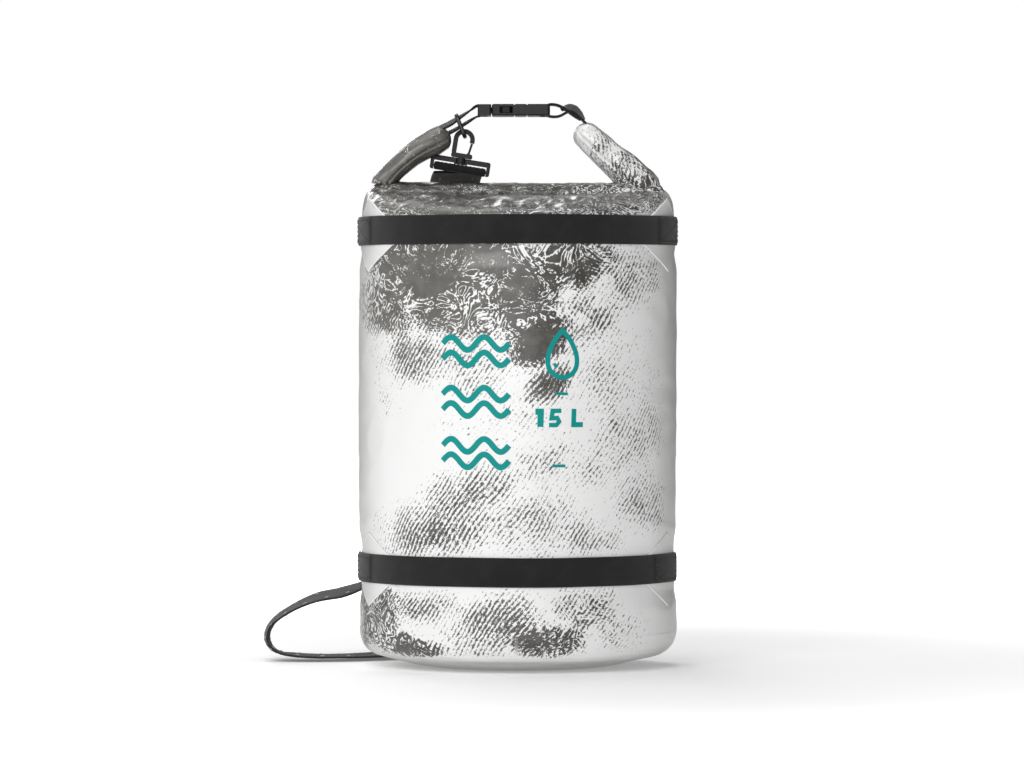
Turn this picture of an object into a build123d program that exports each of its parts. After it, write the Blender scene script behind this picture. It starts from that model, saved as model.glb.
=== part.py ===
"""Roll-top dry bag of 15 litres, in millimetres.

+Z is up and the bag stands on z = 0, centred on the Z axis. The printed front faces -Y.
The mouth is rolled down and lies flat along X on top of the bag. Its two ends turn up and meet at a
side-release buckle, which makes the carrying handle. A shoulder strap hangs from a swivel hook at the
left end of the handle, runs down the back and ends at a D-ring beside the base.
"""

import math
import os

from build123d import *

os.makedirs("parts", exist_ok=True)

# Driving dimensions of the bag.
BAG_R = 116.0  # outer radius of the filled tube
WALL = 0.8  # coated fabric
SEAM_GAP = 0.1  # between two welded layers
FOOT_R = 62.0  # flat patch that the bag stands on
BASE_RISE = 7.0  # how far the base curves up outside its foot
BASE_RISE_R = 96.0
BASE_EDGE_Z = 27.0  # where the round lower edge meets the wall
BASE_RIM_Z = 40.0  # top of the base's welded rim
SHOULDER_Z = 329.0  # where the wall starts to turn in
SHOULDER_R = 10.0
DOME_Z = 339.0  # highest point of the bag under the roll

# Webbing bands round the front.
WEB_W = 21.0
WEB_T = 1.4
LOWER_BAND_Z = 73.5
UPPER_BAND_Z = 318.0
BAND_FROM = 181.0  # degrees about +Z, from +X; 270 is the middle of the front
BAND_TO = 351.0

# Plain diamond-shaped patches welded to the wall under the bands' ends.
DIAMOND_T = 0.4
DIAMOND_HALF_W = 46.0
DIAMOND_HALF_H = 27.0
DIAMONDS = {
    "upper_left_diamond": (201.0, UPPER_BAND_Z - 3.0),
    "upper_right_diamond": (339.0, UPPER_BAND_Z - 3.0),
    "lower_left_diamond": (201.0, LOWER_BAND_Z - 1.0),
    "lower_right_diamond": (339.0, LOWER_BAND_Z - 1.0),
}

# The rolled mouth: a flattened roll, and the path of its middle in the XZ plane.
ROLL_W = 36.0  # across, along Y
ROLL_T = 14.0
ROLL_GAP = 0.4  # above the dome
ROLL_Z = DOME_Z + ROLL_GAP + ROLL_T / 2
ROLL_HALF = 78.0  # half the length of the straight middle
TURN_R = 7.6
LEFT_PATH = [(-110.0, ROLL_Z), (-70.0, 382.5), (-53.5, 389.5)]
RIGHT_PATH = [(110.0, ROLL_Z), (70.0, 383.5), (42.0, 394.0)]
STIFFENER_T = 1.6
STIFFENER_W = 28.0
STIFFENER_PLAY = 0.4

# Side-release buckle, seen along X. Its middle is at this height.
BUCKLE_Z = 406.8
BUCKLE_W = 29.0
BUCKLE_T = 8.6
PLUG_X0 = -29.5  # free end of the plug's web bar
PLUG_X1 = -19.7  # front face of the plug's body
SOCKET_X0 = -19.2  # mouth of the socket
SOCKET_X1 = 23.4
WEB_SLOT_W = 21.6
BAR_X = 2.8  # web bar, along X
BAR_Z = 3.6
SLOT_X = 4.4
CAVITY_T = 4.8
CAVITY_W = 23.6
CAVITY_X1 = 6.0
WINDOW_X0 = -13.6
WINDOW_X1 = -3.8
SPINE_W = 5.0
SPINE_T = 3.4
SPINE_X1 = 1.5
PRONG_Y = 8.8  # hinge line of each prong
PRONG_X = PLUG_X1 + 0.4
PRONG_T = 4.0
PRONG_ROOT_R = 1.3
PRONG_PLAY = 0.15

# Ring that hangs on the left webbing, and the swivel hook that hangs on the ring.
RING_WIRE = 3.0
RING_IN_W = 23.0
RING_IN_H = 13.0
RING_TOP = (-45.0, 402.7)  # middle of the ring's top bar, in XZ
RING_LEAN = 22.0  # degrees, its foot towards +X
HOOK_LEAN = 9.0  # degrees, its foot towards -X
HOOK_T = 6.0
HOOK_EYE_R = 4.4
HOOK_LEG = 8.0  # straight part of the hook below its eye
HOOK_BAND = 3.4
GATE_T = 1.6
BASE_L = 44.0  # webbing loop of the hook
BASE_H = 10.5
BASE_T = 6.4
BASE_TOP_BAR = 3.7
BASE_LOW_BAR = 2.2
SLOT_L = 38.8
BOSS_BELOW_BAR = 0.8  # how far the swivel boss stands below the top bar
SLOT_H = 2.9
POST_R = 2.6
POST_HEAD_R = 3.4

# Webbing loops at the two ends of the shoulder strap.
STRAP_W = 38.0
LOOP_GAP = 0.35
BAR_PLAY = 0.4
UPPER_LOOP_L = 11.0
LOWER_LOOP_L = 12.0
LOWER_LOOP_PULL = (0, 0.5, -0.87)

# Lower ring on the back, with its tab and welded patch.
LOW_RING_Z = 62.0
LOW_TAB_W = 38.0
LOW_RING_IN_W = 41.0
LOW_RING_IN_H = 16.0
LOW_WIRE = 4.0
PATCH_W = 64.0
PATCH_H = 46.0

# Shoulder strap: webbing 38 wide. Its solid is a plain tube along the middle of the webbing.
STRAP_D = 6.0
STRAP_ROUTE = [
    (-43.5, 18.0, 362.5),
    (-45.5, 44.0, 360.5),
    (-48.0, 78.0, 352.5),
    (-50.0, 113.0, 340.5),
    (-50.5, 115.5, 303.0),
    (-51.0, 110.5, 255.0),
    (-54.0, 109.5, 203.0),
    (-58.0, 107.5, 152.0),
    (-67.0, 106.5, 106.0),
    (-91.0, 101.0, 68.0),
    (-124.0, 86.0, 50.5),
    (-158.0, 74.0, 44.5),
    (-187.0, 64.0, 27.0),
    (-184.0, 54.0, 6.5),
    (-158.0, 51.0, 3.4),
    (-124.0, 55.0, 3.2),
    (-96.0, 80.0, 3.3),
    (-70.0, 110.0, 3.4),
    (-43.0, 126.0, 3.4),
    (-19.0, 138.0, 5.0),
    (-4.0, 140.0, 13.5),
    (-1.0, 132.0, 24.0),
]


def save(piece, name):
    """Labels a finished piece and writes its STEP."""
    piece.label = name
    export_step(piece, f"parts/{name}.step")


def wall_profile(inset):
    """Outline of the bag's wall and dome at one side, as points and lines in the XZ plane."""
    r = BAG_R - inset
    top = DOME_Z - inset
    shoulder = SHOULDER_R - inset
    start = (r, SHOULDER_Z)
    edge = (r - shoulder * 0.8, SHOULDER_Z + shoulder * 0.75)
    return start, edge, (0, top)


# ---------------------------------------------------------------- bag
with BuildPart() as body_shell:
    with BuildSketch(Plane.XZ) as wall_section:
        with BuildLine():
            out_start, out_edge, out_top = wall_profile(0)
            in_start, in_edge, in_top = wall_profile(WALL)
            Line((BAG_R, BASE_EDGE_Z), out_start)
            outer_turn = TangentArc(out_start, out_edge, tangent=(0, 1))
            Spline(out_edge, out_top, tangents=(outer_turn % 1, (-1, 0)))
            Line(out_top, in_top)
            inner_turn = TangentArc(in_start, in_edge, tangent=(0, 1))
            Spline(in_edge, in_top, tangents=(inner_turn % 1, (-1, 0)))
            Line(in_start, (BAG_R - WALL, BASE_EDGE_Z))
            Line((BAG_R - WALL, BASE_EDGE_Z), (BAG_R, BASE_EDGE_Z))
        make_face()
    revolve(axis=Axis.Z)
save(body_shell.part, "body_shell")

with BuildPart() as base_panel:
    rim_r = BAG_R - WALL - SEAM_GAP
    with BuildSketch(Plane.XZ) as base_section:
        with BuildLine():
            foot = Line((0, 0), (FOOT_R, 0))
            rise = TangentArc((FOOT_R, 0), (BASE_RISE_R, BASE_RISE), tangent=(1, 0))
            edge = Spline((BASE_RISE_R, BASE_RISE), (rim_r, BASE_EDGE_Z), tangents=(rise % 1, (0, 1)))
            rim = Line((rim_r, BASE_EDGE_Z), (rim_r, BASE_RIM_Z))
            top = Line((rim_r, BASE_RIM_Z), (rim_r - WALL, BASE_RIM_Z))
            inner_rim = Line((rim_r - WALL, BASE_RIM_Z), (rim_r - WALL, BASE_EDGE_Z))
            inner_foot_r = FOOT_R
            inner_rise = TangentArc(
                (inner_foot_r, WALL), (BASE_RISE_R - WALL * 0.4, BASE_RISE + WALL), tangent=(1, 0)
            )
            Spline(
                (BASE_RISE_R - WALL * 0.4, BASE_RISE + WALL),
                (rim_r - WALL, BASE_EDGE_Z),
                tangents=(inner_rise % 1, (0, 1)),
            )
            Line((inner_foot_r, WALL), (0, WALL))
            Line((0, WALL), (0, 0))
        make_face()
    revolve(axis=Axis.Z)
save(base_panel.part, "base_panel")

TAPE_T = 0.4
with BuildPart() as base_seam_tape:
    tape_r = BAG_R - 2 * WALL - 2 * SEAM_GAP
    with BuildSketch(Plane.XY.offset(BASE_RIM_Z - 8)):
        Circle(tape_r)
        Circle(tape_r - TAPE_T, mode=Mode.SUBTRACT)
    extrude(amount=8)
save(base_seam_tape.part, "base_seam_tape")

with BuildPart() as back_seam_tape:
    TAPE_HALF = 5.0  # degrees of the wall that the tape covers, each side of +Y
    with BuildSketch(Plane.XY.offset(BASE_RIM_Z + 3)):
        with BuildLine():
            inside = BAG_R - WALL - SEAM_GAP
            CenterArc((0, 0), inside, 90 - TAPE_HALF, 2 * TAPE_HALF)
            CenterArc((0, 0), inside - TAPE_T, 90 - TAPE_HALF, 2 * TAPE_HALF)
            for degrees in (90 - TAPE_HALF, 90 + TAPE_HALF):
                direction = Vector(math.cos(math.radians(degrees)), math.sin(math.radians(degrees)))
                Line(direction * inside, direction * (inside - TAPE_T))
        make_face()
    extrude(amount=SHOULDER_Z - BASE_RIM_Z - 6)
save(back_seam_tape.part, "back_seam_tape")


def band(middle_z):
    """A webbing band sewn round the front of the bag."""
    near = BAG_R + 2 * SEAM_GAP + DIAMOND_T
    with BuildPart() as piece:
        with BuildSketch(Plane.XY.offset(middle_z - WEB_W / 2)):
            with BuildLine():
                CenterArc((0, 0), near, BAND_FROM, BAND_TO - BAND_FROM)
                CenterArc((0, 0), near + WEB_T, BAND_FROM, BAND_TO - BAND_FROM)
                for degrees in (BAND_FROM, BAND_TO):
                    out = Vector(math.cos(math.radians(degrees)), math.sin(math.radians(degrees)))
                    Line(out * near, out * (near + WEB_T))
            make_face()
        extrude(amount=WEB_W)
    return piece.part


def diamond(degrees, middle_z):
    """A thin diamond that follows the wall, centred at this angle and height."""
    turn = math.radians(degrees)
    out = Vector(math.cos(turn), math.sin(turn), 0)
    face = Plane(origin=out * (BAG_R + 2) + Vector(0, 0, middle_z), x_dir=(0, 0, 1), z_dir=-out)
    with BuildPart() as piece:
        with BuildSketch(face):
            Polygon(
                (DIAMOND_HALF_H, 0), (0, DIAMOND_HALF_W), (-DIAMOND_HALF_H, 0), (0, -DIAMOND_HALF_W)
            )
        extrude(amount=BAG_R / 2)
        with BuildSketch(Plane.XY.offset(middle_z - DIAMOND_HALF_H - 1)) as ring:
            Circle(BAG_R + SEAM_GAP + DIAMOND_T)
            Circle(BAG_R + SEAM_GAP, mode=Mode.SUBTRACT)
        extrude(amount=2 * DIAMOND_HALF_H + 2, mode=Mode.INTERSECT)
    return piece.part


for diamond_name, (diamond_angle, diamond_z) in DIAMONDS.items():
    save(diamond(diamond_angle, diamond_z), diamond_name)
save(band(LOWER_BAND_Z), "lower_band")
save(band(UPPER_BAND_Z), "upper_band")

# ---------------------------------------------------------------- rolled mouth
with BuildPart() as roll_middle:
    with BuildSketch(Plane.YZ.offset(-ROLL_HALF)):
        with Locations((0, ROLL_Z)):
            SlotOverall(ROLL_W, ROLL_T)
            Rectangle(
                STIFFENER_W + 2 * STIFFENER_PLAY, STIFFENER_T + 2 * STIFFENER_PLAY, mode=Mode.SUBTRACT
            )
    extrude(amount=2 * ROLL_HALF)
save(roll_middle.part, "roll_middle")

with BuildPart() as mouth_stiffener:
    with BuildSketch(Plane.YZ.offset(2 - ROLL_HALF)):
        with Locations((0, ROLL_Z)):
            Rectangle(STIFFENER_W, STIFFENER_T)
    extrude(amount=2 * ROLL_HALF - 4)
save(mouth_stiffener.part, "mouth_stiffener")


def roll_end(side, route):
    """One end of the roll, which turns up from the bag's shoulder to the buckle's webbing."""
    start = (side * (ROLL_HALF + 0.5), 0, ROLL_Z)
    with BuildPart() as piece:
        with BuildLine() as path:
            FilletPolyline(start, *[(x, 0, z) for x, z in route], radius=TURN_R)
        with BuildSketch(Plane(origin=start, x_dir=(0, 1, 0), z_dir=(side, 0, 0))):
            SlotOverall(ROLL_W, ROLL_T)
        sweep(path=path.line)
    return piece.part


save(roll_end(-1, LEFT_PATH), "roll_end_left")
save(roll_end(1, RIGHT_PATH), "roll_end_right")


def web_loop(bar, anchor, bar_r, anchor_r):
    """Closure webbing: a band of webbing round a bar, with both layers brought together at the roll."""
    with BuildPart() as piece:
        for extra, mode in ((WEB_T, Mode.ADD), (0, Mode.SUBTRACT)):
            with BuildSketch(Plane.XZ.offset(-WEB_W / 2 + 0.5)):
                with Locations(bar):
                    Circle(bar_r + extra)
                with Locations(anchor):
                    Circle(anchor_r + extra)
                make_hull()
            extrude(amount=WEB_W - 1, mode=mode)
    return piece.part


PLUG_BAR = (PLUG_X0 + BAR_X / 2, BUCKLE_Z)
SOCKET_BAR = (SOCKET_X1 - BAR_X / 2, BUCKLE_Z)
LOOP_IN_R = 2.5
ANCHOR_R = 1.2
LEFT_ANCHOR = (-51.2, 393.2)  # in XZ, just clear of the roll's tips
RIGHT_ANCHOR = (37.5, 399.6)
save(web_loop(PLUG_BAR, LEFT_ANCHOR, LOOP_IN_R, ANCHOR_R), "left_closure_webbing")
save(web_loop(SOCKET_BAR, RIGHT_ANCHOR, LOOP_IN_R, ANCHOR_R), "right_closure_webbing")

# ---------------------------------------------------------------- buckle
with BuildPart() as buckle_plug:
    with BuildSketch(Plane.XY.offset(BUCKLE_Z - BUCKLE_T / 2 + 0.2)):
        with Locations(((PLUG_X0 + PLUG_X1) / 2, 0)):
            RectangleRounded(PLUG_X1 - PLUG_X0, BUCKLE_W - 1, 1.2)
        with Locations((PLUG_X0 + BAR_X + SLOT_X / 2, 0)):
            Rectangle(SLOT_X, WEB_SLOT_W, mode=Mode.SUBTRACT)
    extrude(amount=BUCKLE_T - 0.4)
    # The web bar is thinner than the cheeks, so the webbing lies flush.
    for low in (-1, 1):
        with Locations((PLUG_X0 + BAR_X / 2, 0, BUCKLE_Z + low * (BAR_Z / 2 + 2))):
            Box(BAR_X, WEB_SLOT_W, 4, mode=Mode.SUBTRACT)
    # Guide spine that runs into the socket, and the seats of the two prongs.
    with Locations(((PLUG_X1 + SPINE_X1) / 2 - 0.5, 0, BUCKLE_Z)):
        Box(SPINE_X1 - PLUG_X1 + 1, SPINE_W, SPINE_T)
    with Locations((PRONG_X, PRONG_Y, BUCKLE_Z), (PRONG_X, -PRONG_Y, BUCKLE_Z)):
        Cylinder(PRONG_ROOT_R + PRONG_PLAY, PRONG_T + 2 * PRONG_PLAY, mode=Mode.SUBTRACT)
save(buckle_plug.part, "buckle_plug")


def prong(side):
    """A sprung arm of the plug. Its pad shows in the socket's side window."""
    arm_out = PRONG_Y + PRONG_ROOT_R
    pad_out = BUCKLE_W / 2 - 0.4
    with BuildPart() as piece:
        with BuildSketch(Plane.XY.offset(BUCKLE_Z - PRONG_T / 2)):
            with Locations((PRONG_X, PRONG_Y)):
                Circle(PRONG_ROOT_R)
            with BuildLine():
                Polyline(
                    (PRONG_X, arm_out),
                    (WINDOW_X0 + 0.5, arm_out),
                    (WINDOW_X0 + 0.5, pad_out - 1.6),
                    (WINDOW_X0 + 2.5, pad_out),
                    (WINDOW_X1 - 2.5, pad_out - 0.6),
                    (WINDOW_X1 - 0.5, arm_out + 0.8),
                    (SPINE_X1 + 0.5, arm_out - 0.8),
                    (SPINE_X1 + 0.5, PRONG_Y - PRONG_ROOT_R + 0.6),
                    (PRONG_X, PRONG_Y - PRONG_ROOT_R),
                    close=True,
                )
            make_face()
        extrude(amount=PRONG_T)
    return piece.part if side > 0 else mirror(piece.part, about=Plane.XZ)


save(prong(-1), "buckle_prong_front")
save(prong(1), "buckle_prong_back")

with BuildPart() as buckle_socket:
    with BuildSketch(Plane.XY.offset(BUCKLE_Z - BUCKLE_T / 2)):
        with Locations(((SOCKET_X0 + SOCKET_X1) / 2, 0)):
            RectangleRounded(SOCKET_X1 - SOCKET_X0, BUCKLE_W, 2.0)
    extrude(amount=BUCKLE_T)
    fillet(buckle_socket.edges().filter_by(Axis.X), 1.2)
    # Cavity for the plug, side windows for its pads, and the slot for the webbing.
    with Locations(((SOCKET_X0 + CAVITY_X1) / 2, 0, BUCKLE_Z)):
        Box(CAVITY_X1 - SOCKET_X0, CAVITY_W, CAVITY_T, mode=Mode.SUBTRACT)
    with Locations(((WINDOW_X0 + WINDOW_X1) / 2, 0, BUCKLE_Z)):
        Box(WINDOW_X1 - WINDOW_X0, BUCKLE_W + 2, CAVITY_T, mode=Mode.SUBTRACT)
    with Locations((SOCKET_X1 - BAR_X - SLOT_X / 2, 0, BUCKLE_Z)):
        Box(SLOT_X, WEB_SLOT_W, BUCKLE_T + 2, mode=Mode.SUBTRACT)
    for low in (-1, 1):
        with Locations((SOCKET_X1 - BAR_X / 2, 0, BUCKLE_Z + low * (BAR_Z / 2 + 2))):
            Box(BAR_X + 0.2, WEB_SLOT_W, 4, mode=Mode.SUBTRACT)
    # Two grooves across the body.
    GROOVE = 0.6
    for groove_x in (-2.6, 6.6):
        for low in (-1, 1):
            with Locations((groove_x, 0, BUCKLE_Z + low * BUCKLE_T / 2)):
                Box(1.0, BUCKLE_W + 2, 2 * GROOVE, mode=Mode.SUBTRACT)
save(buckle_socket.part, "buckle_socket")


# ---------------------------------------------------------------- ring and swivel hook
def flat_ring(inner_w, inner_h, wire):
    """A rectangular ring of round bar in the XY plane, with its top bar's middle at the origin."""
    w = inner_w + wire
    h = inner_h + wire
    with BuildPart() as piece:
        with BuildSketch():
            with Locations((0, -h / 2)):
                RectangleRounded(w + wire, h + wire, wire + 1.5)
                RectangleRounded(w - wire, h - wire, 1.5, mode=Mode.SUBTRACT)
        extrude(amount=wire / 2, both=True)
        fillet(piece.edges().filter_by(Plane.XY), wire * 0.4)
    return piece.part


# The ring stands across the webbing: its width is along Y, and its foot leans towards +X.
lean = math.radians(RING_LEAN)
ring_down = Vector(math.sin(lean), 0, -math.cos(lean))
ring_plane = Plane(origin=(RING_TOP[0], 0, RING_TOP[1]), x_dir=(0, 1, 0), z_dir=Vector(0, 1, 0).cross(-ring_down))
save(ring_plane.location * flat_ring(RING_IN_W, RING_IN_H, RING_WIRE), "hanger_ring")

# The hook's plane is XZ. Its own frame has its origin at the ring's lower bar, with Y up its shaft.
ring_foot = Vector(RING_TOP[0], 0, RING_TOP[1]) + ring_down * (RING_IN_H + RING_WIRE)
hook_lean = math.radians(HOOK_LEAN)
hook_up = Vector(math.sin(hook_lean), 0, math.cos(hook_lean))
hook_x = Vector(math.cos(hook_lean), 0, -math.sin(hook_lean))
HOOK_SEAT = HOOK_EYE_R - RING_WIRE / 2 - 0.4  # the ring's bar rests this far above the eye's middle
hook_origin = ring_foot - hook_up * HOOK_SEAT
hook_plane = Plane(origin=hook_origin, x_dir=hook_x, z_dir=hook_x.cross(hook_up))

BASE_TOP = -(HOOK_LEG + HOOK_EYE_R * 0.5)  # top of the foot of the hook, in its own frame
FOOT_H = 3.4
GATE_FOOT = (HOOK_EYE_R + HOOK_BAND / 2 - 1.0, BASE_TOP + 0.2)
GATE_TIP_Y = -0.6

with BuildPart() as hook_frame:
    with BuildSketch(hook_plane.offset(-HOOK_T / 2)):
        # The eye is most of a ring, open at the lower right where the gate closes it.
        Circle(HOOK_EYE_R + HOOK_BAND)
        Circle(HOOK_EYE_R, mode=Mode.SUBTRACT)
        with Locations((0, -HOOK_EYE_R - HOOK_BAND)):
            Rectangle(3 * HOOK_EYE_R + 2 * HOOK_BAND, 2 * (HOOK_EYE_R + HOOK_BAND), mode=Mode.SUBTRACT)
        # Shaft on the left, down to the foot, and the short nose on the right.
        with Locations((-HOOK_EYE_R - HOOK_BAND / 2, BASE_TOP / 2)):
            Rectangle(HOOK_BAND, -BASE_TOP)
        with Locations((HOOK_EYE_R + HOOK_BAND / 2, -0.9)):
            Rectangle(HOOK_BAND, 1.8)
        with Locations((0, BASE_TOP - FOOT_H / 2)):
            RectangleRounded(2 * (HOOK_EYE_R + HOOK_BAND), FOOT_H, 1.2)
    extrude(amount=HOOK_T)
    # Recess for the gate's foot.
    with BuildSketch(hook_plane.offset(-HOOK_T / 2 + 1)):
        with Locations((HOOK_EYE_R + 0.4, BASE_TOP)):
            Rectangle(3.6, 3.2)
    extrude(amount=HOOK_T - 2, mode=Mode.SUBTRACT)
    # Swivel post with its head, which the base turns on.
    post_plane = Plane(
        origin=hook_plane.from_local_coords((0, BASE_TOP - FOOT_H, 0)), x_dir=(0, 1, 0), z_dir=-hook_up
    )
    with BuildSketch(post_plane.offset(-0.5)):
        Circle(POST_R)
    extrude(amount=3.3)
    with BuildSketch(post_plane.offset(2.7)):
        Circle(POST_HEAD_R)
    extrude(amount=1.6)
save(hook_frame.part, "hook_frame")

with BuildPart() as hook_gate:
    with BuildSketch(hook_plane.offset(-HOOK_T / 2 + 1.3)):
        with Locations((HOOK_EYE_R + 0.4, BASE_TOP + 0.1)):
            Circle(1.2)
        with BuildLine():
            Polyline(
                (HOOK_EYE_R - 0.4, BASE_TOP + 0.1),
                (HOOK_EYE_R + 1.2, BASE_TOP + 0.1),
                (HOOK_EYE_R + HOOK_BAND / 2 + GATE_T / 2, -2.1),
                (HOOK_EYE_R + HOOK_BAND / 2 - GATE_T / 2, -2.1),
                close=True,
            )
        make_face()
    extrude(amount=HOOK_T - 2.6)
save(hook_gate.part, "hook_gate")

# The base is a webbing loop: a wide flat frame with a boss that turns on the post.
base_origin = hook_plane.from_local_coords((0, BASE_TOP - FOOT_H - 0.3, 0))
base_plane = Plane(origin=base_origin, x_dir=hook_x, z_dir=hook_x.cross(hook_up))
SLOT_Y = -BASE_TOP_BAR - SLOT_H / 2
LOW_BAR_LOCAL_Y = -BASE_TOP_BAR - SLOT_H - BASE_LOW_BAR / 2
RECESS_H = BASE_H + LOW_BAR_LOCAL_Y - BASE_LOW_BAR / 2


def across_post(depth):
    """Plane square to the swivel post, this far below the top of the base, facing down."""
    return Plane(origin=base_origin - hook_up * depth, x_dir=(0, 1, 0), z_dir=-hook_up)


with BuildPart() as hook_base:
    with BuildSketch(base_plane.offset(-BASE_T / 2)):
        with Locations((0, -BASE_H / 2)):
            RectangleRounded(BASE_L, BASE_H, 1.6)
        with Locations((0, SLOT_Y)):
            Rectangle(SLOT_L, SLOT_H, mode=Mode.SUBTRACT)
        with Locations((0, -BASE_H + RECESS_H / 2)):
            Rectangle(SLOT_L, RECESS_H, mode=Mode.SUBTRACT)
    extrude(amount=BASE_T)
    fillet(hook_base.edges().filter_by(Axis(base_origin, hook_x)).group_by(SortBy.LENGTH)[-1], 0.8)
    # Boss round the post, open at the top for the post and wider inside for its head.
    with BuildSketch(across_post(0)):
        Circle(POST_HEAD_R + 1.4)
    extrude(amount=BASE_TOP_BAR + BOSS_BELOW_BAR)
    with BuildSketch(across_post(-1)):
        Circle(POST_R + 0.35)
    extrude(amount=4.2, mode=Mode.SUBTRACT)
    with BuildSketch(across_post(2.0)):
        Circle(POST_HEAD_R + 0.35)
    extrude(amount=4.0, mode=Mode.SUBTRACT)
save(hook_base.part, "hook_base")


def strap_loop(origin, along, pull, bar_depth, bar_height, length):
    """Webbing end sewn round a bar. The bar runs along one way and the strap leaves the other way."""
    inner = bar_height / 2 + LOOP_GAP
    back = (bar_depth - bar_height) / 2 + BAR_PLAY
    with BuildPart() as piece:
        with BuildSketch(Plane(origin=origin, x_dir=pull, z_dir=along).offset(-STRAP_W / 2)):
            with Locations(((length - back) / 2, 0)):
                SlotCenterToCenter(length + back, 2 * (inner + WEB_T))
                SlotCenterToCenter(length + back, 2 * inner, mode=Mode.SUBTRACT)
        extrude(amount=STRAP_W)
    return piece.part


low_bar = base_plane.from_local_coords((0, LOW_BAR_LOCAL_Y, 0))
save(strap_loop(low_bar, hook_x, (0, 1, 0), BASE_T, BASE_LOW_BAR, UPPER_LOOP_L), "strap_upper_loop")


# ---------------------------------------------------------------- lower ring, tab and patch
with BuildPart() as lower_patch:
    near = BAG_R + SEAM_GAP
    half = math.degrees(PATCH_W / 2 / BAG_R)
    with BuildSketch(Plane.XY.offset(LOW_RING_Z - 8)):
        with BuildLine():
            CenterArc((0, 0), near, 90 - half, 2 * half)
            CenterArc((0, 0), near + WALL, 90 - half, 2 * half)
            for degrees in (90 - half, 90 + half):
                out = Vector(math.cos(math.radians(degrees)), math.sin(math.radians(degrees)))
                Line(out * near, out * (near + WALL))
        make_face()
    extrude(amount=PATCH_H)
save(lower_patch.part, "lower_patch")

LOW_TAB_Y = BAG_R + SEAM_GAP + WALL + 0.2
LOW_BAR_Y = LOW_TAB_Y + 1.4 + LOW_WIRE / 2 + 0.4
with BuildPart() as lower_tab:
    tab_top = LOW_RING_Z + 30
    outer_r = LOW_WIRE / 2 + 0.3 + WEB_T
    with BuildSketch(Plane.YZ.offset(-LOW_TAB_W / 2 + 0.5)):
        with Locations((LOW_BAR_Y, LOW_RING_Z)):
            Circle(outer_r)
        with Locations(((LOW_TAB_Y + LOW_BAR_Y + outer_r) / 2, (LOW_RING_Z + tab_top) / 2)):
            Rectangle(LOW_BAR_Y + outer_r - LOW_TAB_Y, tab_top - LOW_RING_Z)
        with Locations((LOW_BAR_Y, LOW_RING_Z)):
            Circle(LOW_WIRE / 2 + 0.3, mode=Mode.SUBTRACT)
        with Locations((LOW_BAR_Y + outer_r, tab_top)):
            Rectangle(2 * (outer_r - 0.4) + 1.4, 2 * (tab_top - LOW_RING_Z - 9), mode=Mode.SUBTRACT)
    extrude(amount=LOW_TAB_W - 1)
save(lower_tab.part, "lower_tab")

low_ring_plane = Plane(origin=(0, LOW_BAR_Y, LOW_RING_Z), x_dir=(1, 0, 0), z_dir=(0, -1, 0))
save(low_ring_plane.location * flat_ring(LOW_RING_IN_W, LOW_RING_IN_H, LOW_WIRE), "lower_ring")
ring_bar = low_ring_plane.from_local_coords((0, -LOW_RING_IN_H - LOW_WIRE, 0))
lower_loop = strap_loop(ring_bar, (1, 0, 0), LOWER_LOOP_PULL, LOW_WIRE, LOW_WIRE, LOWER_LOOP_L)
save(lower_loop, "strap_lower_loop")


# ---------------------------------------------------------------- shoulder strap
def bend_radii(route):
    """For each corner of the route, 0.45 of its shorter run over the tangent of half its turn."""
    points = [Vector(*p) for p in route]
    radii = []
    for before, here, after in zip(points, points[1:], points[2:]):
        turn = math.radians((here - before).get_angle(after - here))
        radii.append(0.45 * min((here - before).length, (after - here).length) / math.tan(turn / 2))
    return radii


with BuildPart() as shoulder_strap:
    radii = bend_radii(STRAP_ROUTE)
    with BuildLine() as strap_path:
        FilletPolyline(*STRAP_ROUTE, radius=radii)
    with BuildSketch(Plane(origin=STRAP_ROUTE[0], z_dir=strap_path.line % 0)):
        Circle(STRAP_D / 2)
    sweep(path=strap_path.line)
strap_length = sum(edge.length for edge in strap_path.edges())
print("strap bend radii:", [round(radius) for radius in radii])
print("strap length:", round(strap_length))
save(shoulder_strap.part, "shoulder_strap")
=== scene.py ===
import math

import bmesh
import bpy
import numpy as np
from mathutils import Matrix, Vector, noise


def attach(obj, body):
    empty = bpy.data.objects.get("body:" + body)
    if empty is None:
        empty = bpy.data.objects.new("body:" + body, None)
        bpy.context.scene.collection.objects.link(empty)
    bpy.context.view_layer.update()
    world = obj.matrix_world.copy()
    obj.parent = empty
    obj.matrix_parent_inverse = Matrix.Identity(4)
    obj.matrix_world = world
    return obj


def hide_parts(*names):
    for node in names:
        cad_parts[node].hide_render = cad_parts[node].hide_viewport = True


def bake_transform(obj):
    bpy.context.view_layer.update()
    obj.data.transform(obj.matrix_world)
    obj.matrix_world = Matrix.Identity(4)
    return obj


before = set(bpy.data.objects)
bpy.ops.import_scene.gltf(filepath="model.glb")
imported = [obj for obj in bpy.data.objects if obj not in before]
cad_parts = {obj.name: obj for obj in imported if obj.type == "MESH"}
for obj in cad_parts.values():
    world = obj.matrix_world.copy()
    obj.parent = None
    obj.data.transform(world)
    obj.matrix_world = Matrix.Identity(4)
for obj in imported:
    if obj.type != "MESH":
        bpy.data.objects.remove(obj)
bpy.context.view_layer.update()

MM = 0.001

# ---- camera
EYE = (-0.0044, -3.71, 0.2485)
LENS = 177.9
TILT_DOWN = 0.65

camera_data = bpy.data.cameras.new("camera")
camera_data.lens = LENS
camera_data.sensor_width = 36.0
camera_data.clip_end = 50
camera = bpy.data.objects.new("camera", camera_data)
camera.location = EYE
camera.rotation_euler = (math.radians(90 - TILT_DOWN), 0, 0)
bpy.context.collection.objects.link(camera)
bpy.context.scene.camera = camera

# ---- sizes of the bag, in mm
BAG_R = 116.0
WALL_BOTTOM = 27.0
WALL_TOP = 329.0
RIDGE_Z = 345.5
WEB_T = 1.4
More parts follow.
